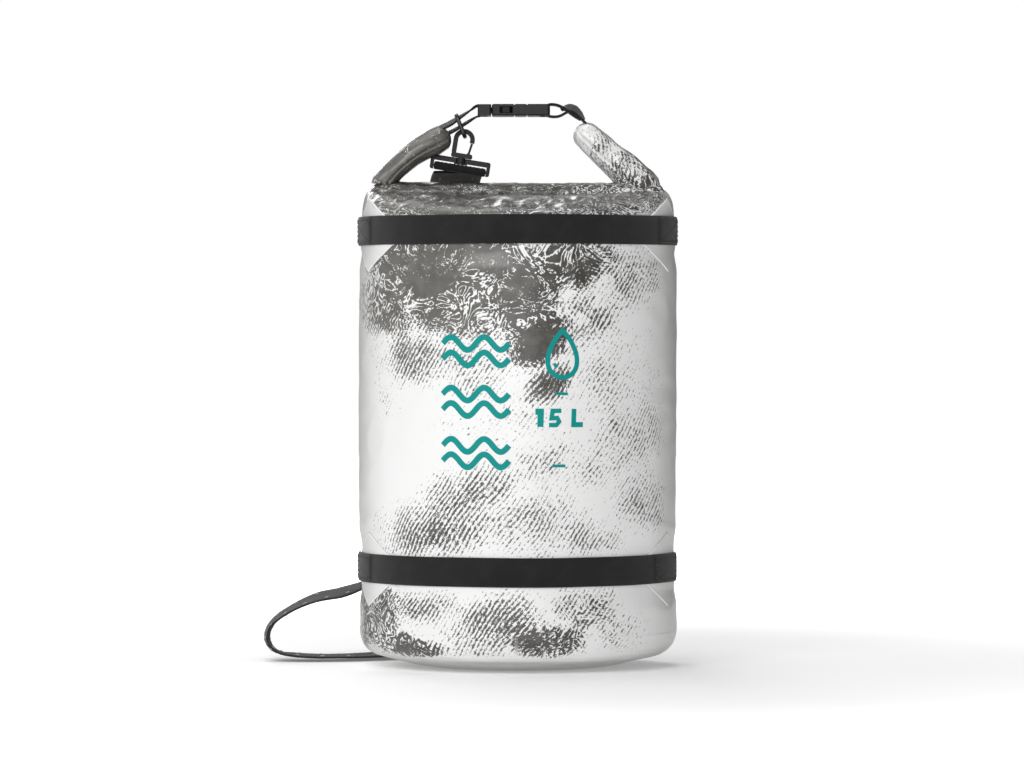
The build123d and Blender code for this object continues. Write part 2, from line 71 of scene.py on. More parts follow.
# The bands pinch the wall in, and lie a little off it.
BAND_W = 21.0
BAND_PINCH = 1.7
BAND_GAP = 0.75
UPPER_BAND_Z = 318.0
LOWER_BAND_Z = 73.5
UPPER_DIAMOND_Z = 315
LOWER_DIAMOND_Z = 72.5
CLOSURE_W = 20.2
STRAP_W = 38.0
STITCH_PITCH = 2.9
# The lower ring's two bars, behind the bag.
RING_Y = 120.9
TAB_BAR_Z = 62.0
STRAP_BAR_Z = 42.0

# The shoulder strap's route, from the hook's webbing loop to the lower ring's.
STRAP_ROUTE = [
    (-43.5, 18.0, 362.5),
    (-45.5, 44.0, 360.5),
    (-48.0, 78.0, 352.5),
    (-50.0, 113.0, 340.5),
    (-50.5, 115.5, 303.0),
    (-51.0, 110.5, 255.0),
    (-54.0, 109.5, 203.0),
    (-58.0, 107.5, 152.0),
    (-67.0, 106.5, 106.0),
    (-91.0, 101.0, 68.0),
    (-124.0, 86.0, 50.5),
    (-158.0, 74.0, 44.5),
    (-187.0, 64.0, 27.0),
    (-184.0, 54.0, 6.5),
    (-158.0, 51.0, 3.4),
    (-124.0, 55.0, 3.2),
    (-96.0, 80.0, 3.3),
    (-70.0, 110.0, 3.4),
    (-43.0, 126.0, 3.4),
    (-19.0, 138.0, 5.0),
    (-4.0, 140.0, 13.5),
    (-1.0, 132.0, 24.0),
]


# ---- shader helpers
class Graph:
    """Short names for building a material's nodes."""

    def __init__(self, name):
        self.material = bpy.data.materials.new(name)
        self.material.use_nodes = True
        self.tree = self.material.node_tree
        self.shader = self.tree.nodes["Principled BSDF"]

    def feed(self, socket, value):
        if isinstance(value, bpy.types.NodeSocket):
            self.tree.links.new(value, socket)
        elif value is not None:
            socket.default_value = value

    def math(self, operation, a, b=None):
        node = self.tree.nodes.new("ShaderNodeMath")
        node.operation = operation
        for socket, value in zip(node.inputs, (a, b)):
            self.feed(socket, value)
        return node.outputs[0]

    def add(self, a, b):
        return self.math("ADD", a, b)

    def mul(self, a, b):
        return self.math("MULTIPLY", a, b)

    def step(self, value, low, high):
        """0 below low, 1 above high, smooth between."""
        node = self.tree.nodes.new("ShaderNodeMapRange")
        node.interpolation_type = "SMOOTHSTEP"
        self.feed(node.inputs["Value"], value)
        self.feed(node.inputs["From Min"], low)
        self.feed(node.inputs["From Max"], high)
        return node.outputs["Result"]

    def noise(self, vector, scale, detail=2.0, rough=0.5, distortion=0.0):
        node = self.tree.nodes.new("ShaderNodeTexNoise")
        for key, value in (
            ("Vector", vector), ("Scale", scale), ("Detail", detail),
            ("Roughness", rough), ("Distortion", distortion),
        ):
            self.feed(node.inputs[key], value)
        return node.outputs["Fac"]

    def stretch(self, vector, scale=(1, 1, 1), turn=0.0):
        node = self.tree.nodes.new("ShaderNodeMapping")
        self.feed(node.inputs["Vector"], vector)
        node.inputs["Scale"].default_value = scale
        node.inputs["Rotation"].default_value = (0, 0, math.radians(turn))
        return node.outputs["Vector"]

    def split(self, vector):
        """A vector's three numbers."""
        node = self.tree.nodes.new("ShaderNodeSeparateXYZ")
        self.feed(node.inputs[0], vector)
        return node.outputs

    def attribute(self, name):
        node = self.tree.nodes.new("ShaderNodeAttribute")
        node.attribute_name = name
        return node

    def mix(self, share, a, b):
        node = self.tree.nodes.new("ShaderNodeMix")
        node.data_type = "RGBA"
        self.feed(node.inputs["Factor"], share)
        for socket, value in zip([s for s in node.inputs if s.type == "RGBA"], (a, b)):
            self.feed(socket, value if isinstance(value, bpy.types.NodeSocket) else (*value, 1))
        return [s for s in node.outputs if s.type == "RGBA"][0]

    def bump(self, height, strength, distance):
        node = self.tree.nodes.new("ShaderNodeBump")
        node.inputs["Strength"].default_value = strength
        node.inputs["Distance"].default_value = distance
        self.feed(node.inputs["Height"], height)
        return node.outputs["Normal"]

    def set(self, **values):
        for key, value in values.items():
            socket = self.shader.inputs[key.replace("_", " ")]
            if isinstance(value, tuple) and len(value) == 3 and socket.type == "RGBA":
                value = (*value, 1)
            self.feed(socket, value)
        return self.material

    def object_mm(self):
        """Object coordinates in millimetres."""
        coords = self.tree.nodes.new("ShaderNodeTexCoord")
        return self.stretch(coords.outputs["Object"], (1000, 1000, 1000))


WHITE = (0.86, 0.86, 0.855)
# How far the print's rows of dashes lean, in degrees, and how far apart they are, in mm.
PRINT_SLANT = -54
DASH_ROW = 3.1
INK = (0.048, 0.045, 0.040)
INK_PALE = (0.150, 0.143, 0.130)
# The colour the fabric is darkened towards at its edges, as painted shade.
PAINTED_EDGE_SHADE = (0.49, 0.485, 0.47)
YARN = (0.007, 0.007, 0.0075)
# The yarns' paler colour: a painted highlight on the weave's crowns, and worn patches.
YARN_HIGHLIGHT_AND_WEAR = (0.021, 0.021, 0.021)


def print_field(g, cloth, hatch):
    """How readily each place takes ink: slanted rows of dashes where hatch is 1, swirls where it is 0."""
    # Rows of dashes, slanted up to the right, with a slow bend.
    along, across, _ = g.split(g.stretch(cloth, (1, 1, 1), PRINT_SLANT))
    across = g.add(across, g.mul(g.noise(cloth, 0.014, 2), 16.0))
    row = g.math("SINE", g.mul(across, 2 * math.pi / DASH_ROW))
    row = g.add(g.mul(row, 0.5), 0.5)
    mixed = g.tree.nodes.new("ShaderNodeCombineXYZ")
    g.feed(mixed.inputs[0], g.mul(along, 0.62))
    g.feed(mixed.inputs[1], across)
    dash = g.noise(mixed.outputs[0], 0.50, 4, 0.72)
    grain = g.noise(mixed.outputs[0], 1.5, 3, 0.75)
    stroke = g.add(g.add(dash, g.mul(grain, 0.62)), g.mul(row, 0.19))
    # Swirls: pale lines along the levels of a strongly bent noise, in a solid field.
    liquid = g.noise(cloth, 0.036, 3, 0.55, 3.2)
    level = g.math("FRACT", g.mul(liquid, 6.0))
    line = g.math("ABSOLUTE", g.add(level, -0.5))
    flake = g.noise(cloth, 0.34, 5, 0.78, 1.4)
    swirl = g.add(g.mul(flake, 0.9), g.mul(g.step(line, 0.05, 0.26), 0.42))
    swirl = g.add(swirl, g.mul(g.noise(cloth, 0.05, 4, 0.6), 0.45))
    return g.add(g.mul(stroke, hatch), g.mul(swirl, g.math("SUBTRACT", 1.0, hatch)))


def print_mask(g, cloth):
    """1 where ink shows and 0 where bare fabric does."""
    ink = g.attribute("ink").outputs["Fac"]
    hatch = g.attribute("hatch").outputs["Fac"]
    # The more ink there is, the lower the level that shows dark.
    gate = g.math("SUBTRACT", 1.24, g.mul(ink, 0.62))
    return g.step(g.math("SUBTRACT", print_field(g, cloth, hatch), gate), -0.02, 0.035)


def ink_tone(g, cloth):
    """The ink's colour, paler in patches and over the upper left of the front."""
    arc, height, _ = g.split(cloth)
    left = g.mul(g.step(arc, 10.0, -45.0), g.step(height, 180.0, 250.0))
    patches = g.step(g.noise(cloth, 0.09, 3, 0.6), 0.3, 0.75)
    return g.mix(g.add(g.mul(left, 0.5), g.mul(patches, 0.5)), INK, INK_PALE)


def painted_edge_shade(g, colour):
    """Painted shade: darkens the colour where the fabric is seen at a low angle, standing in for the grey
    edges that the light gives.
    """
    facing = g.tree.nodes.new("ShaderNodeLayerWeight")
    facing.inputs["Blend"].default_value = 0.5
    shade = g.tree.nodes.new("ShaderNodeMix")
    shade.data_type = "RGBA"
    shade.blend_type = "MULTIPLY"
    ends = [socket for socket in shade.inputs if socket.type == "RGBA"]
    g.feed(shade.inputs["Factor"], g.step(facing.outputs["Facing"], 0.40, 0.98))
    g.feed(ends[0], colour)
    g.feed(ends[1], (*PAINTED_EDGE_SHADE, 1))
    return [socket for socket in shade.outputs if socket.type == "RGBA"][0]


def tarp_material(name, printed):
    """Glossy coated fabric. The print is stamped ink: solid where the ink attribute is high, with
    pale swirls in it, breaking up into slanted rows of dashes and then specks as it falls."""
    g = Graph(name)
    cloth = g.attribute("cloth").outputs["Vector"]
    colour = g.mix(g.step(g.noise(cloth, 0.012, 3), 0.35, 0.7), WHITE, tuple(c * 0.97 for c in WHITE))
    fine = g.noise(cloth, 0.9, 3, 0.6)
    crease = g.noise(g.stretch(cloth, (1, 0.5, 1)), 0.028, 3, 0.55, 0.4)
    height = g.add(g.mul(fine, 0.06), g.mul(crease, 0.9))
    if printed:
        mask = print_mask(g, cloth)
        colour = g.mix(mask, colour, ink_tone(g, cloth))
        height = g.add(height, g.mul(mask, -0.03))
    # The base colour gets painted shade at the edges, where the fabric is seen at a low angle.
    g.set(Base_Color=painted_edge_shade(g, colour), Roughness=0.36, Coat_Weight=0.3, Coat_Roughness=0.14,
          Normal=g.bump(height, 0.35, 0.0012))
    return g.material


def webbing_material(name):
    """Black woven webbing: a fine herringbone, with painted shade in the weave's hollows and a painted
    highlight on the crowns of its yarns, and paler worn patches.
    The cloth attribute runs across the webbing and along it, in mm."""
    g = Graph(name)
    cloth = g.attribute("cloth").outputs["Vector"]
    across, along, _ = g.split(cloth)
    zigzag = g.math("PINGPONG", across, 3.2)
    twill = g.math("SINE", g.mul(g.add(along, zigzag), 2 * math.pi / 1.15))
    rib = g.math("SINE", g.mul(across, 2 * math.pi / 0.8))
    fuzz = g.noise(cloth, 2.2, 3, 0.7)
    height = g.add(g.mul(twill, 0.32), g.add(g.mul(rib, 0.2), g.mul(fuzz, 0.5)))
    worn = g.noise(cloth, 0.05, 4, 0.6)
    # Painted shade and highlight: paler where the weave's bump is high, darker in its hollows. The worn noise
    # adds paler worn patches.
    shade = g.math("ADD", g.mul(g.step(height, -0.2, 0.9), 0.55), g.mul(g.step(worn, 0.35, 0.75), 0.4))
    g.set(Base_Color=g.mix(shade, YARN, YARN_HIGHLIGHT_AND_WEAR), Roughness=0.85, Sheen_Weight=0.16, Sheen_Roughness=0.5,
          Specular_IOR_Level=0.22, Normal=g.bump(height, 0.5, 0.00025))
    return g.material


def plastic_material(name, colour, rough, grain):
    """Moulded plastic with a fine spark-eroded grain and paler, rougher scuffed patches."""
    g = Graph(name)
    mm = g.object_mm()
    fine = g.noise(mm, grain, 3, 0.6)
    scuff = g.noise(g.stretch(mm, (1, 1, 0.4)), 0.35, 4, 0.7)
    tint = g.mix(g.step(scuff, 0.5, 0.78), colour, tuple(c * 1.9 + 0.004 for c in colour))
    roughness = g.add(rough - 0.06, g.mul(scuff, 0.14))
    g.set(Base_Color=tint, Roughness=roughness, Specular_IOR_Level=0.30, Normal=g.bump(fine, 0.22, 0.00012))
    return g.material


def wire_material(name):
    """Black coated wire with a satin shine."""
    g = Graph(name)
    mm = g.object_mm()
    worn = g.noise(mm, 0.7, 4, 0.7)
    g.set(Base_Color=g.mix(g.step(worn, 0.52, 0.72), (0.010, 0.010, 0.011), (0.05, 0.05, 0.052)),
          Metallic=0.35, Roughness=g.add(0.24, g.mul(worn, 0.15)), Coat_Weight=0.4, Coat_Roughness=0.2,
          Normal=g.bump(g.noise(mm, 3.0, 2), 0.1, 0.0001))
    return g.material


def thread_material(name, colour):
    g = Graph(name)
    mm = g.object_mm()
    twist = g.noise(mm, 4.0, 2)
    g.set(Base_Color=g.mix(twist, colour, tuple(c * 1.7 for c in colour)), Roughness=0.6, Sheen_Weight=0.2,
          Normal=g.bump(twist, 0.4, 0.0002))
    return g.material


def ink_material(name, colour):
    """Screen-printed ink: flat colour with a faint grain and thin spots."""
    g = Graph(name)
    mm = g.object_mm()
    thin = g.noise(mm, 0.8, 4, 0.7)
    tint = g.mix(g.step(thin, 0.55, 0.85), colour, tuple(min(1, c * 1.25 + 0.02) for c in colour))
    g.set(Base_Color=tint, Roughness=0.55, Specular_IOR_Level=0.18,
          Normal=g.bump(thin, 0.1, 0.0002))
    return g.material


PRINTED = tarp_material("printed_tarp_look", True)
PLAIN = tarp_material("white_tarp_look", False)
WEBBING = webbing_material("webbing_look")
BUCKLE = plastic_material("buckle_look", (0.008, 0.008, 0.0085), 0.40, 1.8)
HOOK = plastic_material("hook_look", (0.005, 0.005, 0.0055), 0.42, 1.5)
WIRE = wire_material("wire_look")
THREAD = thread_material("black_thread_look", (0.006, 0.006, 0.006))
PALE_THREAD = thread_material("pale_thread_look", (0.42, 0.42, 0.42))
TEAL = ink_material("teal_ink_look", (0.002, 0.268, 0.250))


# ---- mesh helpers
def smooth01(x):
    x = np.clip(x, 0, 1)
    return x * x * (3 - 2 * x)


def wrinkle(x, y, z, size, seed=0.0):
    """Smooth noise about 0, at one point in mm."""
    return noise.noise(Vector((x / size + seed, y / size - seed, z / size)))


def grid_object(name, points, material, cloth, closed=False, caps=False, extra=None):
    """A mesh of rows and columns of points in mm. closed joins the last column to the first, and
    caps closes the first and last rows with a fan. cloth holds each point's place on the fabric, and
    extra holds more numbers for each point, by name."""
    rows, columns = points.shape[:2]
    verts = [tuple(p) for p in (points.reshape(-1, 3) * MM)]
    wrap = columns if closed else columns - 1
    faces = []
    for i in range(rows - 1):
        for j in range(wrap):
            k = (j + 1) % columns
            faces.append((i * columns + j, i * columns + k, (i + 1) * columns + k, (i + 1) * columns + j))
    marks = {"cloth": [tuple(c) for c in cloth.reshape(-1, 3)]}
    for key, values in (extra or {}).items():
        marks[key] = list(values.reshape(-1))
    if caps:
        for row, flip in ((0, True), (rows - 1, False)):
            middle = points[row].mean(axis=0) * MM
            centre = len(verts)
            verts.append(tuple(middle))
            marks["cloth"].append(tuple(cloth[row].mean(axis=0)))
            for key, values in (extra or {}).items():
                marks[key].append(float(values[row].mean()))
            for j in range(wrap):
                k = (j + 1) % columns
                face = (centre, row * columns + j, row * columns + k)
                faces.append(face[::-1] if flip else face)
    mesh = bpy.data.meshes.new(name)
    mesh.from_pydata(verts, [], faces)
    mesh.polygons.foreach_set("use_smooth", [True] * len(mesh.polygons))
    for key, values in marks.items():
        if key == "cloth":
            attribute = mesh.attributes.new(key, "FLOAT_VECTOR", "POINT")
            attribute.data.foreach_set("vector", np.array(values, dtype=float).ravel())
        else:
            attribute = mesh.attributes.new(key, "FLOAT", "POINT")
            attribute.data.foreach_set("value", np.array(values, dtype=float))
    obj = bpy.data.objects.new(name, mesh)
    bpy.context.collection.objects.link(obj)
    mesh.materials.append(material)
    tidy_normals(mesh)
    return obj


def tidy_normals(mesh):
    bm = bmesh.new()
    bm.from_mesh(mesh)
    bmesh.ops.recalc_face_normals(bm, faces=bm.faces)
    bm.to_mesh(mesh)
    bm.free()


def frames_along(points, widths):
    """Unit widths and normals at each point of a line, from the wanted width directions."""
    tangents = np.gradient(points, axis=0)
    tangents /= np.linalg.norm(tangents, axis=1)[:, None]
    widths = widths - (widths * tangents).sum(axis=1)[:, None] * tangents
    widths /= np.linalg.norm(widths, axis=1)[:, None]
    return widths, np.cross(tangents, widths)


RIPPLE_SIZE = 14.0
RIPPLE_SEED = 3.0


def ribbon(name, points, widths, width, curl=0.0, wave=0.0, thickness=None):
    """Flat webbing along a line: a closed band with rounded edges. widths are the directions across it.
    curl bows it across, wave ripples it, and thickness gives it at each point where it isn't WEB_T."""
    across, normal = frames_along(points, widths)
    half = width / 2
    profile = []
    for s in (-1, -0.955, -0.6, -0.2, 0.2, 0.6, 0.955, 1):
        profile.append((s * half, WEB_T / 2 if abs(s) < 0.98 else WEB_T * 0.18))
    profile += [(x, -y) for x, y in reversed(profile)]
    gaps = np.linalg.norm(np.diff(points, axis=0), axis=1)
    lengths = np.concatenate([[0], np.cumsum(gaps)])
    rows, cloth = [], []
    for i, here in enumerate(points):
        row, marks = [], []
        for x, y in profile:
            bow = curl * (abs(x) / half) ** 2
            ripple = wave * wrinkle(x, lengths[i], RIPPLE_SEED, RIPPLE_SIZE, RIPPLE_SEED)
            row.append(here + across[i] * x + normal[i] * (y + bow + ripple))
            marks.append((x, lengths[i], y))
        if thickness is not None:
            middle = np.mean(row, axis=0)
            grow = thickness[i] / WEB_T - 1
            row = [p + normal[i] * ((p - middle) @ normal[i]) * grow for p in row]
        rows.append(row)
        cloth.append(marks)
    return grid_object(name, np.array(rows), WEBBING, np.array(cloth), closed=True, caps=True)


def resample(points, gap):
    """Points at even distances along a line of points."""
    points = np.array(points, dtype=float)
    lengths = np.concatenate([[0], np.cumsum(np.linalg.norm(np.diff(points, axis=0), axis=1))])
    count = max(2, int(round(lengths[-1] / gap)) + 1)
    wanted = np.linspace(0, lengths[-1], count)
    return np.stack([np.interp(wanted, lengths, points[:, k]) for k in range(3)], axis=1)


def spline(points, gap):
    """Points on the smooth line of a NURBS spline with these control points, in mm. They are gap apart,
    or the curve's own where gap is 0."""
    curve = bpy.data.curves.new("line", "CURVE")
    curve.dimensions = "3D"
    curve.resolution_u = 24
    path = curve.splines.new("NURBS")
    path.points.add(len(points) - 1)
    for point, place in zip(path.points, points):
        point.co = (*[c * MM for c in place], 1)
    path.order_u = 3
    path.use_endpoint_u = True
    holder = bpy.data.objects.new("line", curve)
    bpy.context.collection.objects.link(holder)
    mesh = bpy.data.meshes.new_from_object(holder)
    line = np.array([v.co for v in mesh.vertices]) / MM
    bpy.data.objects.remove(holder)
    bpy.data.curves.remove(curve)
    bpy.data.meshes.remove(mesh)
    return resample(line, gap) if gap else line


def object_from(bm, name, material):
    """An object made of a bmesh, which it frees."""
    bmesh.ops.recalc_face_normals(bm, faces=bm.faces)
    mesh = bpy.data.meshes.new(name)
    bm.to_mesh(mesh)
    bm.free()
    mesh.materials.append(material)
    obj = bpy.data.objects.new(name, mesh)
    bpy.context.collection.objects.link(obj)
    return obj


def stitches(name, places, material, body, length, radius=0.3):
    """A run of short raised threads. places are (middle, direction, out) in mm."""
    bm = bmesh.new()
    for middle, direction, out in places:
        direction = Vector(direction).normalized()
        out = Vector(out).normalized()
        side = direction.cross(out).normalized()
        rings = []
        for k in range(7):
            t = k / 6 * 2 - 1
            lift = radius * 0.9 * (1 - t * t)
            size = radius * math.sqrt(max(0.05, 1 - t**4 * 0.9))
            centre = Vector(middle) + direction * (t * length / 2) + out * lift
            ring = []
            for a in range(6):
                turn = a * math.pi / 3
                place = centre + side * math.cos(turn) * size + out * math.sin(turn) * size
                ring.append(bm.verts.new(place * MM))
            rings.append(ring)
        for one, two in zip(rings, rings[1:]):
            for a in range(6):
                b = (a + 1) % 6
                bm.faces.new((one[a], one[b], two[b], two[a]))
        bm.faces.new(rings[0][::-1])
        bm.faces.new(rings[-1])
    obj = object_from(bm, name, material)
    obj.data.polygons.foreach_set("use_smooth", [True] * len(obj.data.polygons))
    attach(obj, body)


def crossed_box(corners):
    """The four sides and two diagonals that a sewn box is made of, from its corners in order."""
    sides = list(zip(corners, corners[1:] + corners[:1]))
    return sides + [(corners[0], corners[2]), (corners[1], corners[3])]


# ---- shoulder strap
strap_line = spline(STRAP_ROUTE, 0)
strap_points = resample(strap_line, 4.0)
# Directions across the webbing, at shares of its length: across the bag's back on the way down, level
# and away from the eye where it swings out to the side, then turned to meet the lower ring.
strap_share = np.linspace(0, 1, len(strap_points))
WIDTH_KEYS = [
    (0.00, (1, 0, 0)),
    (0.20, (0.94, 0.34, 0)),
    (0.43, (0.92, 0.40, 0.02)),
    (0.49, (0.80, 0.60, 0.08)),
    (0.545, (0.25, 0.96, 0.18)),
    (0.59, (0.03, 1.0, 0.16)),
    (0.635, (-0.04, 1.0, 0.07)),
    (0.675, (-0.12, 1.0, 0.02)),
    (0.71, (-0.06, 1.0, 0.0)),
    (0.75, (-0.10, 0.99, 0.0)),
    (0.80, (-0.55, 0.83, 0.0)),
    (0.85, (-0.72, 0.69, 0.0)),
    (0.90, (-0.52, 0.85, 0.0)),
    (0.94, (-0.35, 0.94, 0.0)),
    (0.965, (0.0, 1.0, 0.0)),
    (0.985, (0.72, 0.69, 0.0)),
    (1.00, (1.0, 0.0, 0.0)),
]
key_share = [k[0] for k in WIDTH_KEYS]
strap_widths = np.stack(
    [np.interp(strap_share, key_share, [k[1][axis] for k in WIDTH_KEYS]) for axis in range(3)], axis=1
)
shoulder_strap = ribbon("shoulder_strap_webbing", strap_points, strap_widths, STRAP_W - 0.6, wave=0.25)
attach(shoulder_strap, "bag")
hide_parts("shoulder_strap")

# ---- floor and light
FLOOR_HALF = 6.0
floor_mesh = bpy.data.meshes.new("floor")
floor_corners = [(x * FLOOR_HALF, y * FLOOR_HALF, 0) for x, y in ((-1, -1), (1, -1), (1, 1), (-1, 1))]
floor_mesh.from_pydata(floor_corners, [], [(0, 1, 2, 3)])
floor = bpy.data.objects.new("floor", floor_mesh)
bpy.context.collection.objects.link(floor)
# Away from the bag the floor fades into the white room behind it.
floor_look = Graph("floor_look")
here = floor_look.tree.nodes.new("ShaderNodeNewGeometry")
away = floor_look.tree.nodes.new("ShaderNodeVectorMath")
away.operation = "LENGTH"
floor_look.feed(away.inputs[0], here.outputs["Position"])
seen = floor_look.tree.nodes.new("ShaderNodeLightPath").outputs["Is Camera Ray"]
glow = floor_look.mul(floor_look.step(away.outputs["Value"], 0.30, 1.2), seen)
floor_look.set(Base_Color=(0.93, 0.93, 0.93), Roughness=0.9, Specular_IOR_Level=0.1,
               Emission_Color=(1.0, 1.0, 1.0), Emission_Strength=floor_look.add(glow, 0.14))
floor_mesh.materials.append(floor_look.material)


def lamp(name, place, aim, size, power, size_y=None):
    """A rectangular lamp of this size in metres and power in watts."""
    data = bpy.data.lights.new(name, "AREA")
    data.shape = "RECTANGLE"
    data.size = size
    data.size_y = size_y or size
    data.energy = power
    obj = bpy.data.objects.new(name, data)
    obj.location = place
    obj.rotation_euler = (Vector(aim) - Vector(place)).to_track_quat("-Z", "Y").to_euler()
    bpy.context.collection.objects.link(obj)


lamp("key", (-0.9, -2.4, 1.4), (0, 0, 0.2), 1.4, 28, 1.2)
lamp("fill", (0.1, -2.9, 0.8), (0, 0, 0.2), 1.2, 12, 1.4)
lamp("back", (-0.8, 2.6, 1.5), (0, 0, 0.2), 1.4, 24, 1.2)
lamp("top", (-0.2, 0.3, 2.4), (0, 0, 0.1), 1.8, 17)

world = bpy.data.worlds.new("studio")
world.use_nodes = True
# A soft room, brighter to the left of the bag than to the right.
sky = world.node_tree.nodes
join = world.node_tree.links.new
side_parts = sky.new("ShaderNodeSeparateXYZ")
join(sky.new("ShaderNodeTexCoord").outputs["Generated"], side_parts.inputs[0])
dimming = sky.new("ShaderNodeMapRange")
join(side_parts.outputs[0], dimming.inputs["Value"])
for key, value in (("From Min", -0.6), ("From Max", 0.7), ("To Min", 0.58), ("To Max", 0.10)):
    dimming.inputs[key].default_value = value
# The camera itself sees it plain white.
shown = sky.new("ShaderNodeMath")
shown.operation = "MAXIMUM"
join(dimming.outputs["Result"], shown.inputs[0])
join(sky.new("ShaderNodeLightPath").outputs["Is Camera Ray"], shown.inputs[1])
join(shown.outputs[0], sky["Background"].inputs["Strength"])
sky["Background"].inputs["Color"].default_value = (1, 1, 1, 1)
bpy.context.scene.world = world
bpy.context.scene.view_settings.view_transform = "Standard"

# ---- the print
# Where ink lies on the front, as soft blots: middle x and z, two half sizes, turn in degrees, how much
# ink, and how far it is hatched.
BLOTS = [
    (-66, 290, 40, 26, -14, 1.00, 0.08),
    (-24, 298, 42, 18, -22, 0.97, 0.04),
    (-94, 262, 22, 28, 25, 0.70, 0.50),
    (-52, 256, 42, 18, -15, 0.74, 0.50),
    (2, 272, 32, 28, -50, 0.86, 0.10),
    (14, 240, 20, 24, -60, 0.94, 0.15),
    (22, 208, 14, 22, -55, 0.72, 0.85),
    (36, 292, 42, 20, 12, 0.76, 0.40),
    (80, 284, 34, 26, 25, 0.50, 0.75),
    (50, 256, 44, 26, 40, 0.52, 0.90),
    (-74, 226, 36, 22, -10, 0.60, 0.95),
    (-30, 218, 36, 26, -20, 0.50, 0.95),
    (-94, 200, 20, 22, 0, 0.34, 0.90),
    (66, 212, 50, 40, 20, 0.42, 0.92),
    (-10, 180, 60, 34, 0, 0.36, 0.85),
    (80, 172, 40, 32, 30, 0.47, 0.95),
    (36, 152, 60, 26, 0, 0.45, 0.85),
    (-56, 104, 54, 28, 10, 0.60, 1.00),
    (-34, 130, 46, 24, 20, 0.58, 1.00),
    (10, 108, 50, 30, 0, 0.54, 0.95),
    (90, 122, 26, 34, 60, 0.52, 0.95),
    (50, 98, 34, 18, 0, 0.50, 0.85),
    (-66, 48, 34, 15, 0, 0.58, 1.00),
    (-14, 38, 44, 24, 20, 0.64, 1.00),
    (18, 25, 32, 14, 0, 0.76, 0.25),
    (46, 46, 36, 22, 0, 0.52, 0.70),
    (-102, 42, 22, 30, -20, 0.64, 0.10),
    (-78, 19, 26, 10, -8, 0.82, 0.10),
    (-30, 19, 40, 9, 0, 0.50, 0.80),
    (72, 30, 26, 18, 0, 0.42, 0.55),
    (-40, 336, 74, 16, 0, 1.00, 0.00),
    (40, 338, 50, 14, 0, 0.86, 0.05),
    (84, 342, 30, 16, 0, 0.66, 0.20),
    (-96, 344, 26, 22, 0, 0.84, 0.10),
]


def ink_at(x, y, z):
    """Ink and hatching at a point of the fabric, in mm. The back carries clumps of the same print."""
    ink, hatch, total = 0.07, 0.0, 0.0
    if y < 0:
        for bx, bz, rx, rz, turn, amount, share in BLOTS:
            a = math.radians(turn)
            dx, dz = x - bx, z - bz
            u = (dx * math.cos(a) + dz * math.sin(a)) / rx
            v = (dz * math.cos(a) - dx * math.sin(a)) / rz
            near = math.exp(-((u * u + v * v) ** 1.3) * 0.75)
            ink = max(ink, amount * near) + 0.06 * amount * near
            hatch += share * near
            total += near
    clump = noise.noise(Vector((x / 46 + 9.1, y / 46, z / 40))) * 0.5 + 0.5
    fine = noise.noise(Vector((x / 17, y / 17 + 4.2, z / 17)))
    behind = smooth01((y + 30) / 50)
    ink = ink * (1 - behind) + behind * (0.05 + 0.85 * smooth01((clump - 0.36) / 0.34))
    ink += 0.12 * fine
    share = (hatch / total) if total > 0.02 else 0.9
    patch = noise.noise(Vector((x / 60, y / 60, z / 55 + 3)))
    share = share * (1 - behind) + behind * smooth01((patch + 0.3) / 0.5)
    side = smooth01((abs(x) - 102) / 12) * (1 - behind)
    if x < 0:
        side *= smooth01((230 - z) / 40)
    ink *= 1 - 0.75 * side * smooth01((z - 60) / 30)
    ink *= smooth01((z - 6) / 9)
    return max(0.0, min(1.0, ink)) ** 1.25, max(0.0, min(1.0, share))


def with_ink(points):
    """The ink and hatch attributes for a grid of points."""
    flat = points.reshape(-1, 3)
    values = np.array([ink_at(*p) for p in flat])
    return {"ink": values[:, 0].reshape(points.shape[:2]), "hatch": values[:, 1].reshape(points.shape[:2])}


# ---- wall, top and base
COLUMNS = 360
ANGLES = np.linspace(0, 2 * math.pi, COLUMNS, endpoint=False) - math.pi / 2


def near_band(z):
    """1 under a webbing band and its diamonds, where the wall is pulled flat, and 0 away from them."""
    nearest = min(abs(z - LOWER_BAND_Z), abs(z - UPPER_BAND_Z))
    return float(1 - smooth01((nearest - 14) / 16))


def wall_bulge(angle, z):
    """How far the filled wall stands off its round shape, in mm."""
    x, y = math.cos(angle) * BAG_R, math.sin(angle) * BAG_R
    slow = wrinkle(x, y, z * 0.5, 70, 5) * 0.9 + wrinkle(x, y, z, 24, 8) * 0.25
    pucker = wrinkle(x, y, z * 0.25, 9, 2) * 0.7 * float(smooth01((z - 296) / 30))
    dent = -abs(wrinkle(x, y, z * 1.6, 34, 11)) * 0.7
    pinch = near_band(z)
    return (slow + pucker + dent + 0.2) * (1 - 0.92 * pinch) - BAND_PINCH * pinch


wall_z = np.arange(WALL_BOTTOM, WALL_TOP + 0.1, 2.5166)
rows, cloth = [], []
for z in wall_z:
    radius = np.array([BAG_R + wall_bulge(a, z) for a in ANGLES])
    rows.append(np.stack([radius * np.cos(ANGLES), radius * np.sin(ANGLES), np.full(COLUMNS, z)], axis=1))
    cloth.append(np.stack([(ANGLES + math.pi / 2) * BAG_R, np.full(COLUMNS, z), np.zeros(COLUMNS)], axis=1))
wall_rim = rows[-1]
